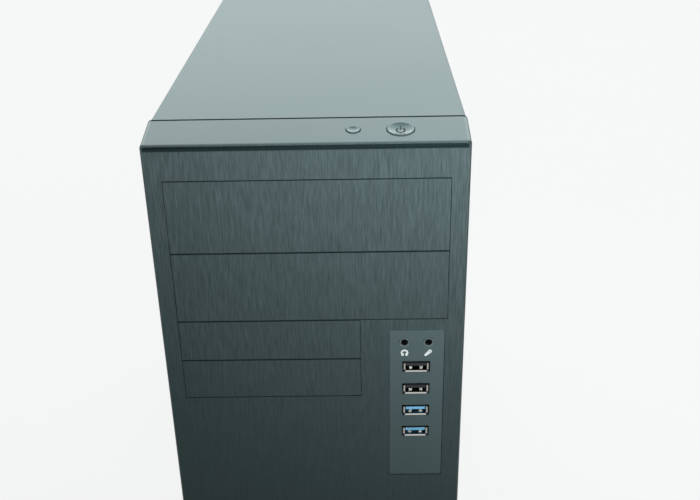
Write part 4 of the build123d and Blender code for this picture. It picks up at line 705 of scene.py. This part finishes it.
def jackFinish(conf, box):
    bench, point = newFinish("jackNoses")
    x, y, z = bench.split(point)
    side = abs(abs(x - (box[0][0] + box[1][0]) / 2) - conf["spread"])
    up = z - conf["height"]
    raised = up - conf["lift"]
    mouth = y < conf["mouthY"]
    ring = (side * side + up * up > conf["inner"] ** 2) * mouth
    # painted shade in the countersink, but for the lit crescent at its lower wall
    lit = (side * side + raised * raised > conf["shade"] ** 2) * mouth
    tone = bench.mix(lit, conf["dark"], conf["lit"])
    grain = bench.noise(point, conf["grain"], 3)
    return bench.surface({
        "Base Color": bench.mix(ring, tone, conf["ring"]),
        "Roughness": conf["rough"] + grain * conf["grainRough"],
        "Normal": bench.bump(grain, conf["relief"]),
    })


dressed = []


def dress(material, *names):
    for name in names:
        mesh = nodes[name].data
        mesh.materials.clear()
        mesh.materials.append(material)
        dressed.append(name)


frontNames = (
    "front_bezel",
    "wide_bay_cover_upper",
    "wide_bay_cover_lower",
    "small_bay_cover_upper",
    "small_bay_cover_lower",
)
panelNames = ("top_panel", "bottom_panel", "left_side_panel", "right_side_panel")
brightNames = ("hard_drive_lid", "processor", "cpu_heatsink")
darkScrewNames = ("left_thumbscrews", "right_thumbscrews", "fan_screws")
sheetNames = (
    "front_frame",
    "rear_panel",
    "motherboard_tray",
    "drive_cage_walls",
    "drive_shelf",
    "hard_drive_cage",
)
insulatorNames = ("usb_black_tongues", "button_switches", "psu_inlet")
slotNames = ("memory_slots", "expansion_slots", "board_sockets")
boardNames = ("motherboard", "memory_modules", "front_io_board", "switch_board", "psu_board")
fans = ("cpu", "rear", "psu")
streakShift = (7.3, 0, 3.1)  # so that no two covers have the same streaks
metals = (
    # name, tone, roughness, what differs from metalSet, nodes
    ("coverSteel", (0.44, 0.45, 0.46), 0.34, {"grain": 70, "stretch": (1, 1, 14)}, ["slot_covers"]),
    ("shieldSteel", (0.66, 0.66, 0.65), 0.24, {"grain": 60, "stretch": (1, 1, 12)}, ["io_shield"]),
    ("nickelPlate", (0.62, 0.61, 0.58), 0.2, {}, ["case_screws", "coin_cell"]),
    ("blackOxide", (0.045, 0.045, 0.048), 0.32, {}, darkScrewNames),
    ("castAlloy", (0.42, 0.43, 0.44), 0.42, {"grain": 700}, ["hard_drive"]),
    ("brightAlloy", (0.74, 0.75, 0.76), 0.26, {"grain": 900, "stretch": (1, 1, 0.1)}, brightNames),
    ("finnedAlloy", (0.66, 0.67, 0.70), 0.30, {"grain": 900}, ["board_heatsinks", "capacitors"]),
    ("pinBrass", (0.78, 0.70, 0.52), 0.2, {}, ["inlet_pins"]),
    ("solderTin", (0.70, 0.70, 0.69), 0.3, {}, []),
)
plastics = (
    # name, tone, roughness, what differs from mouldedSet, nodes
    ("blackInsulator", (0.016, 0.016, 0.017), 0.42, {}, insulatorNames),
    # partly painted light: the tongues' blue is made paler than their own, to make up for the shade in
    # the sockets
    ("blueInsulator", (0.25, 0.63, 1.0), 0.3, {"spread": 0.04}, ["usb_blue_tongues"]),
    ("slotPlastic", (0.022, 0.023, 0.026), 0.42, {}, slotNames),
    ("fanPlastic", (0.020, 0.021, 0.022), 0.38, {}, [fan + "_fan_frame" for fan in fans]),
    ("bladePlastic", (0.028, 0.029, 0.031), 0.34, {}, [fan + "_fan_rotor" for fan in fans]),
    ("switchPlastic", (0.018, 0.018, 0.019), 0.3, {}, ["psu_switch_housing", "psu_rocker"]),
    ("footRubber", (0.024, 0.024, 0.025), 0.75, {}, ["foot_pads"]),
    ("coilGrey", (0.075, 0.075, 0.080), 0.5, {}, []),
    ("ceramicTan", (0.36, 0.26, 0.17), 0.45, {}, []),
)

for count, name in enumerate(frontNames):
    shift = tuple(count * value for value in streakShift)
    dress(brushedFinish(brushedSet, shift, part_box(name)), name)
dress(satinFinish("smoothStrip", stripSet), "front_io_plate")
dress(satinFinish("buttonCaps", capSet), "power_button", "reset_button")
dress(satinFinish("footPlastic", footSet), "feet")
dress(paintFinish("paintedSteel", paintSet), *panelNames)
dress(paintFinish("supplyPaint", supplySet), "psu_case", "psu_lid", "fan_guards")
dress(zincFinish("zincSheet", zincSet), *sheetNames)
dress(boardFinish(boardSet), *boardNames)
dress(socketFinish(socketSet), "rear_ports")
dress(lipFinish(lipSet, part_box("usb_shells")), "usb_shells")
dress(jackFinish(jackSet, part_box("audio_jacks")), "audio_jacks")
finishes = {}
for make, rows in ((metalFinish, metals), (mouldedFinish, plastics)):
    for name, tone, rough, own, wearers in rows:
        finishes[name] = make(name, tone, rough, **own)
        dress(finishes[name], *wearers)
print("finishes on", len(dressed), "nodes")


# Small parts are drawn on a plane of the tower, in millimetres, and given their thickness
def planeAt(origin, right, up):
    right = Vector(right)
    up = Vector(up)
    axes = Matrix((right, up, right.cross(up))).transposed()
    return Matrix.Translation(Vector(origin)) @ axes.to_4x4()


def moved(plane, x, y, z=0.0):
    return plane @ Matrix.Translation(Vector((x, y, z)))


def arcOf(radius, start, end, steps, centre=(0, 0)):
    turns = [math.radians(start + (end - start) * n / steps) for n in range(steps + 1)]
    return [(centre[0] + radius * math.cos(t), centre[1] + radius * math.sin(t)) for t in turns]


def circleOf(radius, steps, centre=(0, 0)):
    return arcOf(radius, 0, 360, steps, centre)[:-1]


def blockOf(width, height, centre=(0, 0), radius=0.0, steps=4):
    corners = []
    for turn, i, k in ((0, 1, 1), (90, -1, 1), (180, -1, -1), (270, 1, -1)):
        spot = (centre[0] + i * (width / 2 - radius), centre[1] + k * (height / 2 - radius))
        corners += arcOf(radius, turn, turn + 90, steps, spot) if radius else [spot]
    return corners


def bandOf(radius, line, start, end, steps):
    outer = arcOf(radius + line / 2, start, end, steps)
    return outer + arcOf(radius - line / 2, end, start, steps)


def crossOf(reach, half):
    right = [(reach, half), (half, half), (half, reach)]
    corner = right + [(-half, reach), (-half, half), (-reach, half)]
    return corner + [(-x, -y) for x, y in corner]


class Mould:  # gathers the mesh of one piece
    pitFoot = 0.75  # a recess narrows to this share at its foot
    bevelSteps = 2

    def __init__(self):
        self.work = bmesh.new()

    def ring(self, plane, outline, level, rise=None):
        points = [Vector((x, y, level + (rise(x, y) if rise else 0.0))) for x, y in outline]
        return [self.work.verts.new(plane @ point) for point in points]

    def walls(self, low, high):
        for n in range(len(low)):
            self.work.faces.new((low[n - 1], low[n], high[n], high[n - 1]))

    def cap(self, *rings):
        if len(rings) == 1:
            self.work.faces.new(rings[0])
            return
        edges = []
        for ring in rings:
            for n in range(len(ring)):
                pair = (ring[n - 1], ring[n])
                edges.append(self.work.edges.get(pair) or self.work.edges.new(pair))
        bmesh.ops.triangle_fill(self.work, use_beauty=True, edges=edges)

    def slab(self, plane, outline, low, high, holes=()):  # a flat shape, pierced by its holes
        loops = [outline, *holes]
        below = [self.ring(plane, loop, low) for loop in loops]
        above = [self.ring(plane, loop, high) for loop in loops]
        for first, second in zip(below, above):
            self.walls(first, second)
        self.cap(*below)
        self.cap(*above)

    def ribbon(self, plane, outline, low, high, rise):  # a narrow stroke, its two sides listed in turn
        below = self.ring(plane, outline, low, rise)
        above = self.ring(plane, outline, high, rise)
        self.walls(below, above)
        for ring in (below, above):
            for n in range(len(ring) // 2 - 1):
                self.work.faces.new((ring[n], ring[n + 1], ring[-n - 2], ring[-n - 1]))

    def turned(self, plane, profile, sides, pit=None, floor=0.0):  # turned about the plane's normal
        rings = [self.ring(plane, circleOf(radius, sides), level) for radius, level in profile]
        for first, second in zip(rings, rings[1:]):
            self.walls(first, second)
        self.cap(rings[0])
        if pit is None:
            self.cap(rings[-1])
            return
        rim = self.ring(plane, pit, profile[-1][1])
        foot = self.ring(plane, [(self.pitFoot * x, self.pitFoot * y) for x, y in pit], floor)
        self.cap(rings[-1], rim)
        self.walls(rim, foot)
        self.cap(foot)

    def finish(self, name, material, body, slot, soften=0.0):
        bmesh.ops.recalc_face_normals(self.work, faces=self.work.faces)
        bmesh.ops.scale(self.work, vec=(mm, mm, mm), verts=self.work.verts)
        data = bpy.data.meshes.new(name)
        self.work.to_mesh(data)
        self.work.free()
        data.materials.append(material)
        piece = addObject(name, data)
        if soften:
            bevel = piece.modifiers.new("softEdges", "BEVEL")
            bevel.width = soften * mm
            bevel.segments = self.bevelSteps
            bevel.limit_method = "ANGLE"
        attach(piece, body)
        return piece


stripPlane = planeAt((0, -199.8, 0), (1, 0, 0), (0, 0, 1))
rearPlane = planeAt((0, 192.2, 0), (-1, 0, 0), (0, 0, 1))
boardPlane = planeAt((67.6, 0, 0), (0, -1, 0), (0, 0, 1))
browPlane = planeAt((0, -201, 351.2), (1, 0, 0), (0, 0.985418, 0.170149))
sunk = -0.05  # marks start this far below the surface that carries them
neck = -0.01  # a screw's shank ends this far below its seat

# White pictograms beside the sound sockets
pictogramSet = {
    "ink": (0.86, 0.87, 0.86),
    "rough": 0.5,
    "spread": 0.05,
    "thick": 0.07,
    "headphones": (51.1, 225.6),
    "bandRadius": 1.66,
    "bandLine": 1.0,
    "bandTurn": (-10, 190),
    "bandSteps": 24,
    "cup": (1.36, 1.8),
    "cupPlace": (1.14, -1.05),
    "cupRound": 0.4,
    "cupProud": 0.02,
    "microphone": (64.5, 225.5),
    "tilt": 45,
    "head": 1.12,
    "headHole": 0.34,
    "headPlace": 1.30,
    "grip": (-2.7, 0.35),
    "gripHalf": (0.62, 0.98),
    "gripHole": (-0.75, 0.22),
    "sides": (28, 16, 12),  # of the head, its hole and the grip's hole
}


def makePictograms(conf):
    white = mouldedFinish("whiteInk", conf["ink"], conf["rough"], spread=conf["spread"])
    thick = conf["thick"]
    phones = Mould()
    spot = moved(stripPlane, *conf["headphones"])
    band = bandOf(conf["bandRadius"], conf["bandLine"], *conf["bandTurn"], conf["bandSteps"])
    phones.slab(spot, band, sunk, thick)
    across, up = conf["cupPlace"]
    for side in (-1, 1):
        cup = blockOf(*conf["cup"], (side * across, up), conf["cupRound"])
        phones.slab(spot, cup, sunk, thick + conf["cupProud"])
    phones.finish("headphone_mark", white, "chassis", "smooth_black")

    speech = Mould()
    tilt = Matrix.Rotation(math.radians(conf["tilt"]), 4, "Z")
    spot = moved(stripPlane, *conf["microphone"]) @ tilt
    headSides, holeSides, gripSides = conf["sides"]
    place = (conf["headPlace"], 0)
    hole = circleOf(conf["headHole"], holeSides, place)
    speech.slab(spot, circleOf(conf["head"], headSides, place), sunk, thick, [hole])
    start, end = conf["grip"]
    thin, wide = conf["gripHalf"]
    place, radius = conf["gripHole"]
    grip = [(start, thin), (start, -thin), (end, -wide), (end, wide)]
    speech.slab(spot, grip, sunk, thick, [circleOf(radius, gripSides, (place, 0))])
    speech.finish("microphone_mark", white, "chassis", "smooth_black")


makePictograms(pictogramSet)

# Power mark in the hollow of the button
powerMarkSet = {
    "ink": (0.004, 0.005, 0.005),
    "rough": 0.75,
    "place": (48.8, 14.2),
    "ball": 16.404,
    "ballHeight": 15.604,
    "radius": 2.2,
    "line": 0.55,
    "gap": 38,
    "arcSteps": 60,
    "bar": (0.9, 3.3),
    "barSteps": 8,
    "thick": 0.16,
}


def makePowerMark(conf):
    spot = moved(browPlane, *conf["place"])

    def hollow(x, y):
        return conf["ballHeight"] - math.sqrt(conf["ball"] ** 2 - x * x - y * y)

    mark = Mould()
    turn = (90 + conf["gap"], 450 - conf["gap"])
    arc = bandOf(conf["radius"], conf["line"], *turn, conf["arcSteps"])
    mark.ribbon(spot, arc, sunk, conf["thick"], hollow)
    low, high = conf["bar"]
    half = conf["line"] / 2
    count = conf["barSteps"]
    steps = [low + (high - low) * n / count for n in range(count + 1)]
    bar = [(-half, y) for y in steps] + [(half, y) for y in reversed(steps)]
    mark.ribbon(spot, bar, sunk, conf["thick"], hollow)
    ink = mouldedFinish("darkInk", conf["ink"], conf["rough"])
    mark.finish("power_mark", ink, "power_button", "black_insulator")


makePowerMark(powerMarkSet)
print("front marks made")

# Rear sockets: coloured sound rings, network contacts and lights, the monitor socket's pin holes
rearSet = {
    "soundHeight": 125.0,
    "sounds": (
        ("line_in_ring", 38.0, (0.10, 0.32, 0.62)),
        ("line_out_ring", 49.6, (0.20, 0.52, 0.16)),
        ("voice_ring", 61.2, (0.72, 0.26, 0.36)),
    ),
    "soundRough": 0.34,
    "ringOuter": 3.6,
    "ringInner": 1.95,
    "ringSides": (40, 32),
    "ringProud": 0.5,
    "ringSoft": 0.15,
    "network": (60.6, 148.0),
    "contacts": 8,
    "contactPitch": 1.02,
    "contactAside": 3.5,
    "contact": (0.35, 0.45),
    "contactSpan": (-8.8, -1.2),
    "lights": (
        ("link_light", -4.9, (0.72, 0.44, 0.05)),
        ("speed_light", 4.9, (0.12, 0.50, 0.10)),
    ),
    "lightRough": 0.2,
    "lightAside": 5.6,
    "light": (1.8, 2.6),
    "lightRound": 0.3,
    "lightProud": 0.15,
    "soft": 0.06,
    "monitor": (61.3, 177.0),
    "monitorReach": 5.0,
    "monitorTone": (0.03, 0.08, 0.30),
    "monitorRough": 0.4,
    "insert": ((3.4, -7.6), (3.4, 7.6), (-3.4, 6.5), (-3.4, -6.5)),
    "insertSpan": (0.02, 0.35),
    "pinRows": ((-2.0, 0.0), (0.0, 1.15), (2.0, 0.0)),
    "pinCount": 5,
    "pinPitch": 2.3,
    "pinShift": -0.55,
    "pinHole": 0.42,
    "pinSides": 12,
    "shadeShare": 0.98,
    "shadeProud": 0.08,
}


def makeRearDetails(conf):
    outerSides, innerSides = conf["ringSides"]
    outer = circleOf(conf["ringOuter"], outerSides)
    inner = circleOf(conf["ringInner"], innerSides)
    for name, x, tone in conf["sounds"]:
        ring = Mould()
        spot = moved(rearPlane, -x, conf["soundHeight"])
        ring.slab(spot, outer, sunk, conf["ringProud"], [inner])
        finish = mouldedFinish(name + "Plastic", tone, conf["soundRough"])
        ring.finish(name, finish, "chassis", "port_plastic", conf["ringSoft"])

    x, z = conf["network"]
    pins = Mould()
    first = -conf["contactPitch"] * (conf["contacts"] - 1) / 2
    for n in range(conf["contacts"]):
        up = z + first + n * conf["contactPitch"]
        spot = moved(rearPlane, -x - conf["contactAside"], up)
        pins.slab(spot, blockOf(*conf["contact"]), *conf["contactSpan"])
    pins.finish("network_contacts", finishes["pinBrass"], "chassis", "pin_brass", conf["soft"])
    lens = blockOf(*conf["light"], (0, 0), conf["lightRound"])
    for name, offset, tone in conf["lights"]:
        light = Mould()
        spot = moved(rearPlane, -x + conf["lightAside"], z + offset)
        light.slab(spot, lens, sunk, conf["lightProud"])
        finish = mouldedFinish(name + "Lens", tone, conf["lightRough"])
        light.finish(name, finish, "chassis", "port_plastic", conf["soft"])

    x, z = conf["monitor"]
    spot = moved(rearPlane, -x, z, conf["monitorReach"])
    holes = []
    for across, shift in conf["pinRows"]:
        for n in range(conf["pinCount"]):
            up = (n - (conf["pinCount"] - 1) / 2) * conf["pinPitch"] + shift + conf["pinShift"]
            holes.append(circleOf(conf["pinHole"], conf["pinSides"], (across, up)))
    insert = Mould()
    insert.slab(spot, conf["insert"], *conf["insertSpan"], holes)
    blue = mouldedFinish("monitorBlue", conf["monitorTone"], conf["monitorRough"])
    insert.finish("monitor_insert", blue, "chassis", "port_plastic")
    shade = Mould()
    share = conf["shadeShare"]
    shade.slab(spot, [(share * a, share * b) for a, b in conf["insert"]], sunk, conf["shadeProud"])
    shade.finish("monitor_shade", finishes["blackInsulator"], "chassis", "black_insulator")


makeRearDetails(rearSet)
print("rear details made")


# Separate solids of a node, found from its mesh
def solidsOf(name):
    work = bmesh.new()
    work.from_mesh(nodes[name].data)
    bmesh.ops.remove_doubles(work, verts=work.verts, dist=1e-6)
    work.verts.ensure_lookup_table()
    seen = set()
    groups = []
    for vert in work.verts:
        if vert.index in seen:
            continue
        seen.add(vert.index)
        stack = [vert]
        group = []
        while stack:
            current = stack.pop()
            group.append(current.co / mm)
            for edge in current.link_edges:
                other = edge.other_vert(current)
                if other.index not in seen:
                    seen.add(other.index)
                    stack.append(other)
        groups.append(group)
    work.free()
    return groups


def spanOf(group):  # lowest and highest corner of a solid
    low = Vector([min(point[n] for point in group) for n in range(3)])
    high = Vector([max(point[n] for point in group) for n in range(3)])
    return low, high


# Screws with a rounded head, a cross recess and a ridged shank, in place of the plain ones
screwSet = {
    "head": 3.1,
    "dome": ((1.0, 0.0), (1.0, 0.9), (0.97, 1.35), (0.88, 1.75)),  # share of the head, level
    "thick": 2.0,
    "flat": 2.3,
    "shank": 1.5,
    "point": 0.5,  # share of the shank at its end
    "tip": 0.3,
    "pitch": 0.8,
    "ridge": 0.18,
    "sides": 28,
    "cross": (1.55, 0.36),
    "crossDepth": 1.3,
}


def seatOf(group, conf):  # a screw's plane: on its seat, with the normal out through the head
    middle = sum(group, Vector()) / len(group)
    best = None
    ways = (Vector((1, 0, 0)), Vector((0, 1, 0)), Vector((0, 0, 1)), browPlane.to_3x3().col[2])
    for way in ways:
        reach = max((point - middle - way * (point - middle).dot(way)).length for point in group)
        if best is None or reach < best[0]:
            best = (reach, way)
    way = best[1]
    levels = [(point - middle).dot(way) for point in group]
    wide = [
        level
        for point, level in zip(group, levels)
        if (point - middle - way * level).length > (conf["head"] + conf["shank"]) / 2
    ]
    if sum(wide) / len(wide) < (min(levels) + max(levels)) / 2:
        way = -way
        levels = [-level for level in levels]
    right = way.orthogonal().normalized()
    seat = middle + way * (max(levels) - conf["thick"])
    return planeAt(seat, right, way.cross(right)), max(levels) - min(levels) - conf["thick"]


def makeScrews(conf, name, material, slot):
    screws = Mould()
    shank = conf["shank"]
    root = shank - conf["ridge"]
    head = [(conf["head"] * share, level) for share, level in conf["dome"]]
    floor = conf["thick"] - conf["crossDepth"]
    for group in solidsOf(name):
        plane, length = seatOf(group, conf)
        count = max(2, int(length / conf["pitch"]))
        step = (length - conf["tip"]) / count
        profile = [(shank * conf["point"], -length), (root, conf["tip"] - length)]
        for n in range(count - 1):
            level = conf["tip"] - length + (n + 0.5) * step
            profile += [(shank, level), (root, level + 0.5 * step)]
        profile += [(shank, neck), *head, (conf["flat"], conf["thick"])]
        screws.turned(plane, profile, conf["sides"], crossOf(*conf["cross"]), floor)
    piece = screws.finish(name + "_detailed", material, "chassis", slot)
    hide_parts(name)


makeScrews(screwSet, "case_screws", finishes["nickelPlate"], "plated_steel")
makeScrews(screwSet, "fan_screws", finishes["blackOxide"], "black_screws")

# Thumbscrews with fluted heads
thumbSet = {
    "collar": 5.6,
    "collarThick": 1.4,
    "collarEdge": 0.8,  # share of its thickness below the eased edge
    "collarEase": 0.3,
    "head": 4.8,
    "length": 8.0,
    "flutes": 26,
    "flutePoints": 6,
    "fluteDepth": 0.45,
    "fluteShort": 0.35,
    "core": 4.2,
    "coreFlat": 3.9,
    "coreFrom": 0.9,
    "coreEdge": 0.25,
    "sides": 48,
    "shank": 1.75,
    "shankLength": 5.0,
    "point": 0.6,  # share of the shank at its end
    "tip": 0.6,
    "cross": (2.3, 0.5),
    "crossDepth": 2.2,
    "soft": 0.12,
}


def makeThumbscrews(conf, name, body):
    pair = Mould()
    steps = conf["flutes"] * conf["flutePoints"]
    outline = []
    for n in range(steps):
        turn = 2 * math.pi * n / steps
        hollow = (0.5 - 0.5 * math.cos(conf["flutes"] * turn)) ** 2
        radius = conf["head"] - conf["fluteDepth"] * hollow
        outline.append((radius * math.cos(turn), radius * math.sin(turn)))
    collar, top = conf["collar"], conf["collarThick"]
    shank, foot = conf["shank"], -conf["shankLength"]
    core, length = conf["core"], conf["length"]
    lower = [(shank * conf["point"], foot), (shank, foot + conf["tip"]), (shank, neck)]
    lower += [(collar, 0.0), (collar, top * conf["collarEdge"])]
    lower += [(collar - conf["collarEase"], top), (core, top)]
    upper = [(core, length - conf["coreFrom"]), (core, length - conf["coreEdge"])]
    upper += [(conf["coreFlat"], length)]
    for group in solidsOf(name):
        low, high = spanOf(group)
        seat = ((low.x + high.x) / 2, high.y - length, (low.z + high.z) / 2)
        plane = planeAt(seat, (-1, 0, 0), (0, 0, 1))
        pair.turned(plane, lower, conf["sides"])
        pair.slab(plane, outline, top + sunk, length - conf["fluteShort"])
        floor = length - conf["crossDepth"]
        pair.turned(plane, upper, conf["sides"], crossOf(*conf["cross"]), floor)
    piece = pair.finish(name + "_fluted", finishes["blackOxide"], body, "black_screws", conf["soft"])
    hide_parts(name)


makeThumbscrews(thumbSet, "left_thumbscrews", "left_side_panel")
makeThumbscrews(thumbSet, "right_thumbscrews", "right_side_panel")
print("screws made")

# Small components on the motherboard, scattered where it is free
partsSet = {
    "seed": 41,
    "margin": 1.2,
    "edge": 2.0,
    "near": (1, 12),  # solids from just behind the board's face to well in front of it take room
    "coilFirst": (146.0, 249.0),
    "coilPitch": 12.4,
    "coilCount": 7,
    "coilSize": (10.0, 10.0, 7.0),
    "coilRound": 1.5,
    "coilSoft": 0.4,
    "headers": ((20.0, 5), (40.0, 5), (62.0, 4), (84.0, 5), (106.0, 4), (128.0, 5)),
    "headerHeight": 26.5,
    "headerThick": 2.5,
    "pinPitch": 2.54,
    "pinWidth": 0.64,
    "pinSpan": (2.4, 8.5),
    "chips": (14.0, 12.0, 9.0, 7.0, 7.0),  # square ones
    "longChips": ((5.0, 6.2), (5.0, 6.2), (5.0, 6.2)),
    "chipSpan": (0.1, 1.4),
    "chipTries": 400,
    "legRoom": 2,
    "legPitch": 1.0,
    "legSize": (1.0, 0.45, 0.35),
    "legOut": 0.45,
    "smallCount": 620,
    "smallSizes": ((1.6, 0.8, 0.55), (2.0, 1.25, 0.7), (3.2, 1.6, 0.9)),
    "smallUpright": 0.5,
    "smallPale": 0.55,
    "smallBody": (0.62, 0.96),  # shares of its length and height
    "smallEnd": (0.2, 0.4),  # shares of its length: an end's width and place
    "soft": 0.08,
    "smallSoft": 0.06,
}
crowdNames = (
    "processor",
    "cpu_heatsink",
    "memory_slots",
    "expansion_slots",
    "board_sockets",
    "board_heatsinks",
    "capacitors",
    "coin_cell",
    "rear_ports",
    "case_screws",
)


def roomTaken(conf, face):  # spans in y and z of what already stands on the board
    behind, ahead = conf["near"]
    spans = []
    for name in crowdNames:
        for group in solidsOf(name):
            low, high = spanOf(group)
            if low.x < face + behind and high.x > face - ahead:
                spans.append((low.y, high.y, low.z, high.z))
    return spans


def makeBoardParts(conf):
    rng = random.Random(conf["seed"])
    low, high = (corner / mm for corner in map(Vector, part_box("motherboard")))
    taken = roomTaken(conf, low.x)

    def claim(y, z, sizeY, sizeZ):
        box = (y - sizeY / 2, y + sizeY / 2, z - sizeZ / 2, z + sizeZ / 2)
        edge = conf["edge"]
        if box[0] < low.y + edge or box[1] > high.y - edge:
            return False
        if box[2] < low.z + edge or box[3] > high.z - edge:
            return False
        gap = conf["margin"]
        for other in taken:
            if box[0] < other[1] + gap and box[1] > other[0] - gap:
                if box[2] < other[3] + gap and box[3] > other[2] - gap:
                    return False
        taken.append(box)
        return True

    coils, chips, tin, gold, ceramic = Mould(), Mould(), Mould(), Mould(), Mould()
    sizeY, sizeZ, tall = conf["coilSize"]
    for n in range(conf["coilCount"]):
        y = conf["coilFirst"][0] - conf["coilPitch"] * n
        z = conf["coilFirst"][1]
        if claim(y, z, sizeY, sizeZ):
            outline = blockOf(sizeY, sizeZ, (0, 0), conf["coilRound"])
            coils.slab(moved(boardPlane, -y, z), outline, 0, tall)
    pitch = conf["pinPitch"]
    pin = blockOf(conf["pinWidth"], conf["pinWidth"])
    for y, count in conf["headers"]:
        z = conf["headerHeight"]
        if claim(y, z, count * pitch, 2 * pitch):
            outline = blockOf(count * pitch, 2 * pitch)
            chips.slab(moved(boardPlane, -y, z), outline, 0, conf["headerThick"])
            for n in range(count):
                for row in (-0.5, 0.5):
                    along = -y + (n - (count - 1) / 2) * pitch
                    gold.slab(moved(boardPlane, along, z + row * pitch), pin, *conf["pinSpan"])
    legLong, legWide, legThick = conf["legSize"]
    square = tuple((size, size) for size in conf["chips"])
    for sizeY, sizeZ in square + conf["longChips"]:
        legs = int(sizeZ / conf["legPitch"]) - 1
        for _ in range(conf["chipTries"]):
            y = rng.uniform(low.y, high.y)
            z = rng.uniform(low.z, high.z)
            if not claim(y, z, sizeY + conf["legRoom"], sizeZ + conf["legRoom"]):
                continue
            spot = moved(boardPlane, -y, z)
            chips.slab(spot, blockOf(sizeY, sizeZ), *conf["chipSpan"])
            for side in (-1, 1):
                across = side * (sizeY / 2 + conf["legOut"])
                for n in range(legs):
                    offset = (n - (legs - 1) / 2) * conf["legPitch"]
                    tin.slab(spot, blockOf(legLong, legWide, (across, offset)), 0, legThick)
            break
    bodyLong, bodyTall = conf["smallBody"]
    endLong, endPlace = conf["smallEnd"]
    for _ in range(conf["smallCount"]):
        sizeA, sizeB, tall = rng.choice(conf["smallSizes"])
        upright = rng.random() < conf["smallUpright"]
        y = rng.uniform(low.y, high.y)
        z = rng.uniform(low.z, high.z)
        pale = rng.random() < conf["smallPale"]
        if not claim(y, z, *((sizeB, sizeA) if upright else (sizeA, sizeB))):
            continue
        spot = moved(boardPlane, -y, z) @ Matrix.Rotation(math.radians(90 * upright), 4, "Z")
        small = ceramic if pale else chips
        small.slab(spot, blockOf(sizeA * bodyLong, sizeB), 0, tall * bodyTall)
        for side in (-1, 1):
            end = blockOf(sizeA * endLong, sizeB, (side * sizeA * endPlace, 0))
            tin.slab(spot, end, 0, tall)
    soft = conf["soft"]
    black = finishes["blackInsulator"]
    coils.finish("board_coils", finishes["coilGrey"], "chassis", "black_insulator", conf["coilSoft"])
    chips.finish("board_chips", black, "chassis", "black_insulator", soft)
    tin.finish("board_solder", finishes["solderTin"], "chassis", "plated_steel")
    gold.finish("board_pins", finishes["pinBrass"], "chassis", "pin_brass", soft)
    tan = finishes["ceramicTan"]
    ceramic.finish("board_ceramics", tan, "chassis", "jack_plastic", conf["smallSoft"])
    print("board parts:", len(taken))


makeBoardParts(partsSet)

# On and off marks on the mains rocker
rockerSet = {
    "ink": (0.80, 0.80, 0.78),
    "rough": 0.5,
    "spread": 0.05,
    "pivot": (52.0, 187.8, 302.3),
    "tilt": 8.0,
    "wing": (1.6, 7.6),  # rise and run of each half of the rocker
    "out": 3.9,
    "height": 4.0,
    "bar": (0.6, 3.4),
    "ring": (1.7, 1.15),
    "sides": 32,
    "thick": 0.06,
}


def makeRockerMarks(conf):
    tilt = math.radians(conf["tilt"])
    white = mouldedFinish("rockerInk", conf["ink"], conf["rough"], spread=conf["spread"])
    rise = math.atan2(*conf["wing"])
    marks = Mould()
    turned = Matrix.Translation(Vector(conf["pivot"])) @ Matrix.Rotation(tilt, 4, "Z")
    outer, inner = (circleOf(radius, conf["sides"]) for radius in conf["ring"])
    for side in (-1, 1):
        spot = Vector((side * conf["out"], conf["height"] + conf["out"] * math.tan(rise), 0))
        normal = Vector((-side * math.sin(rise), math.cos(rise), 0))
        along = Vector((0, 0, 1)).cross(normal)
        plane = turned @ planeAt(spot, along, (0, 0, 1))
        if side < 0:
            marks.slab(plane, blockOf(*conf["bar"]), sunk, conf["thick"])
        else:
            marks.slab(plane, outer, sunk, conf["thick"], [inner])
    marks.finish("rocker_marks", white, "psu_rocker", "black_insulator")


makeRockerMarks(rockerSet)
print("inside details made")
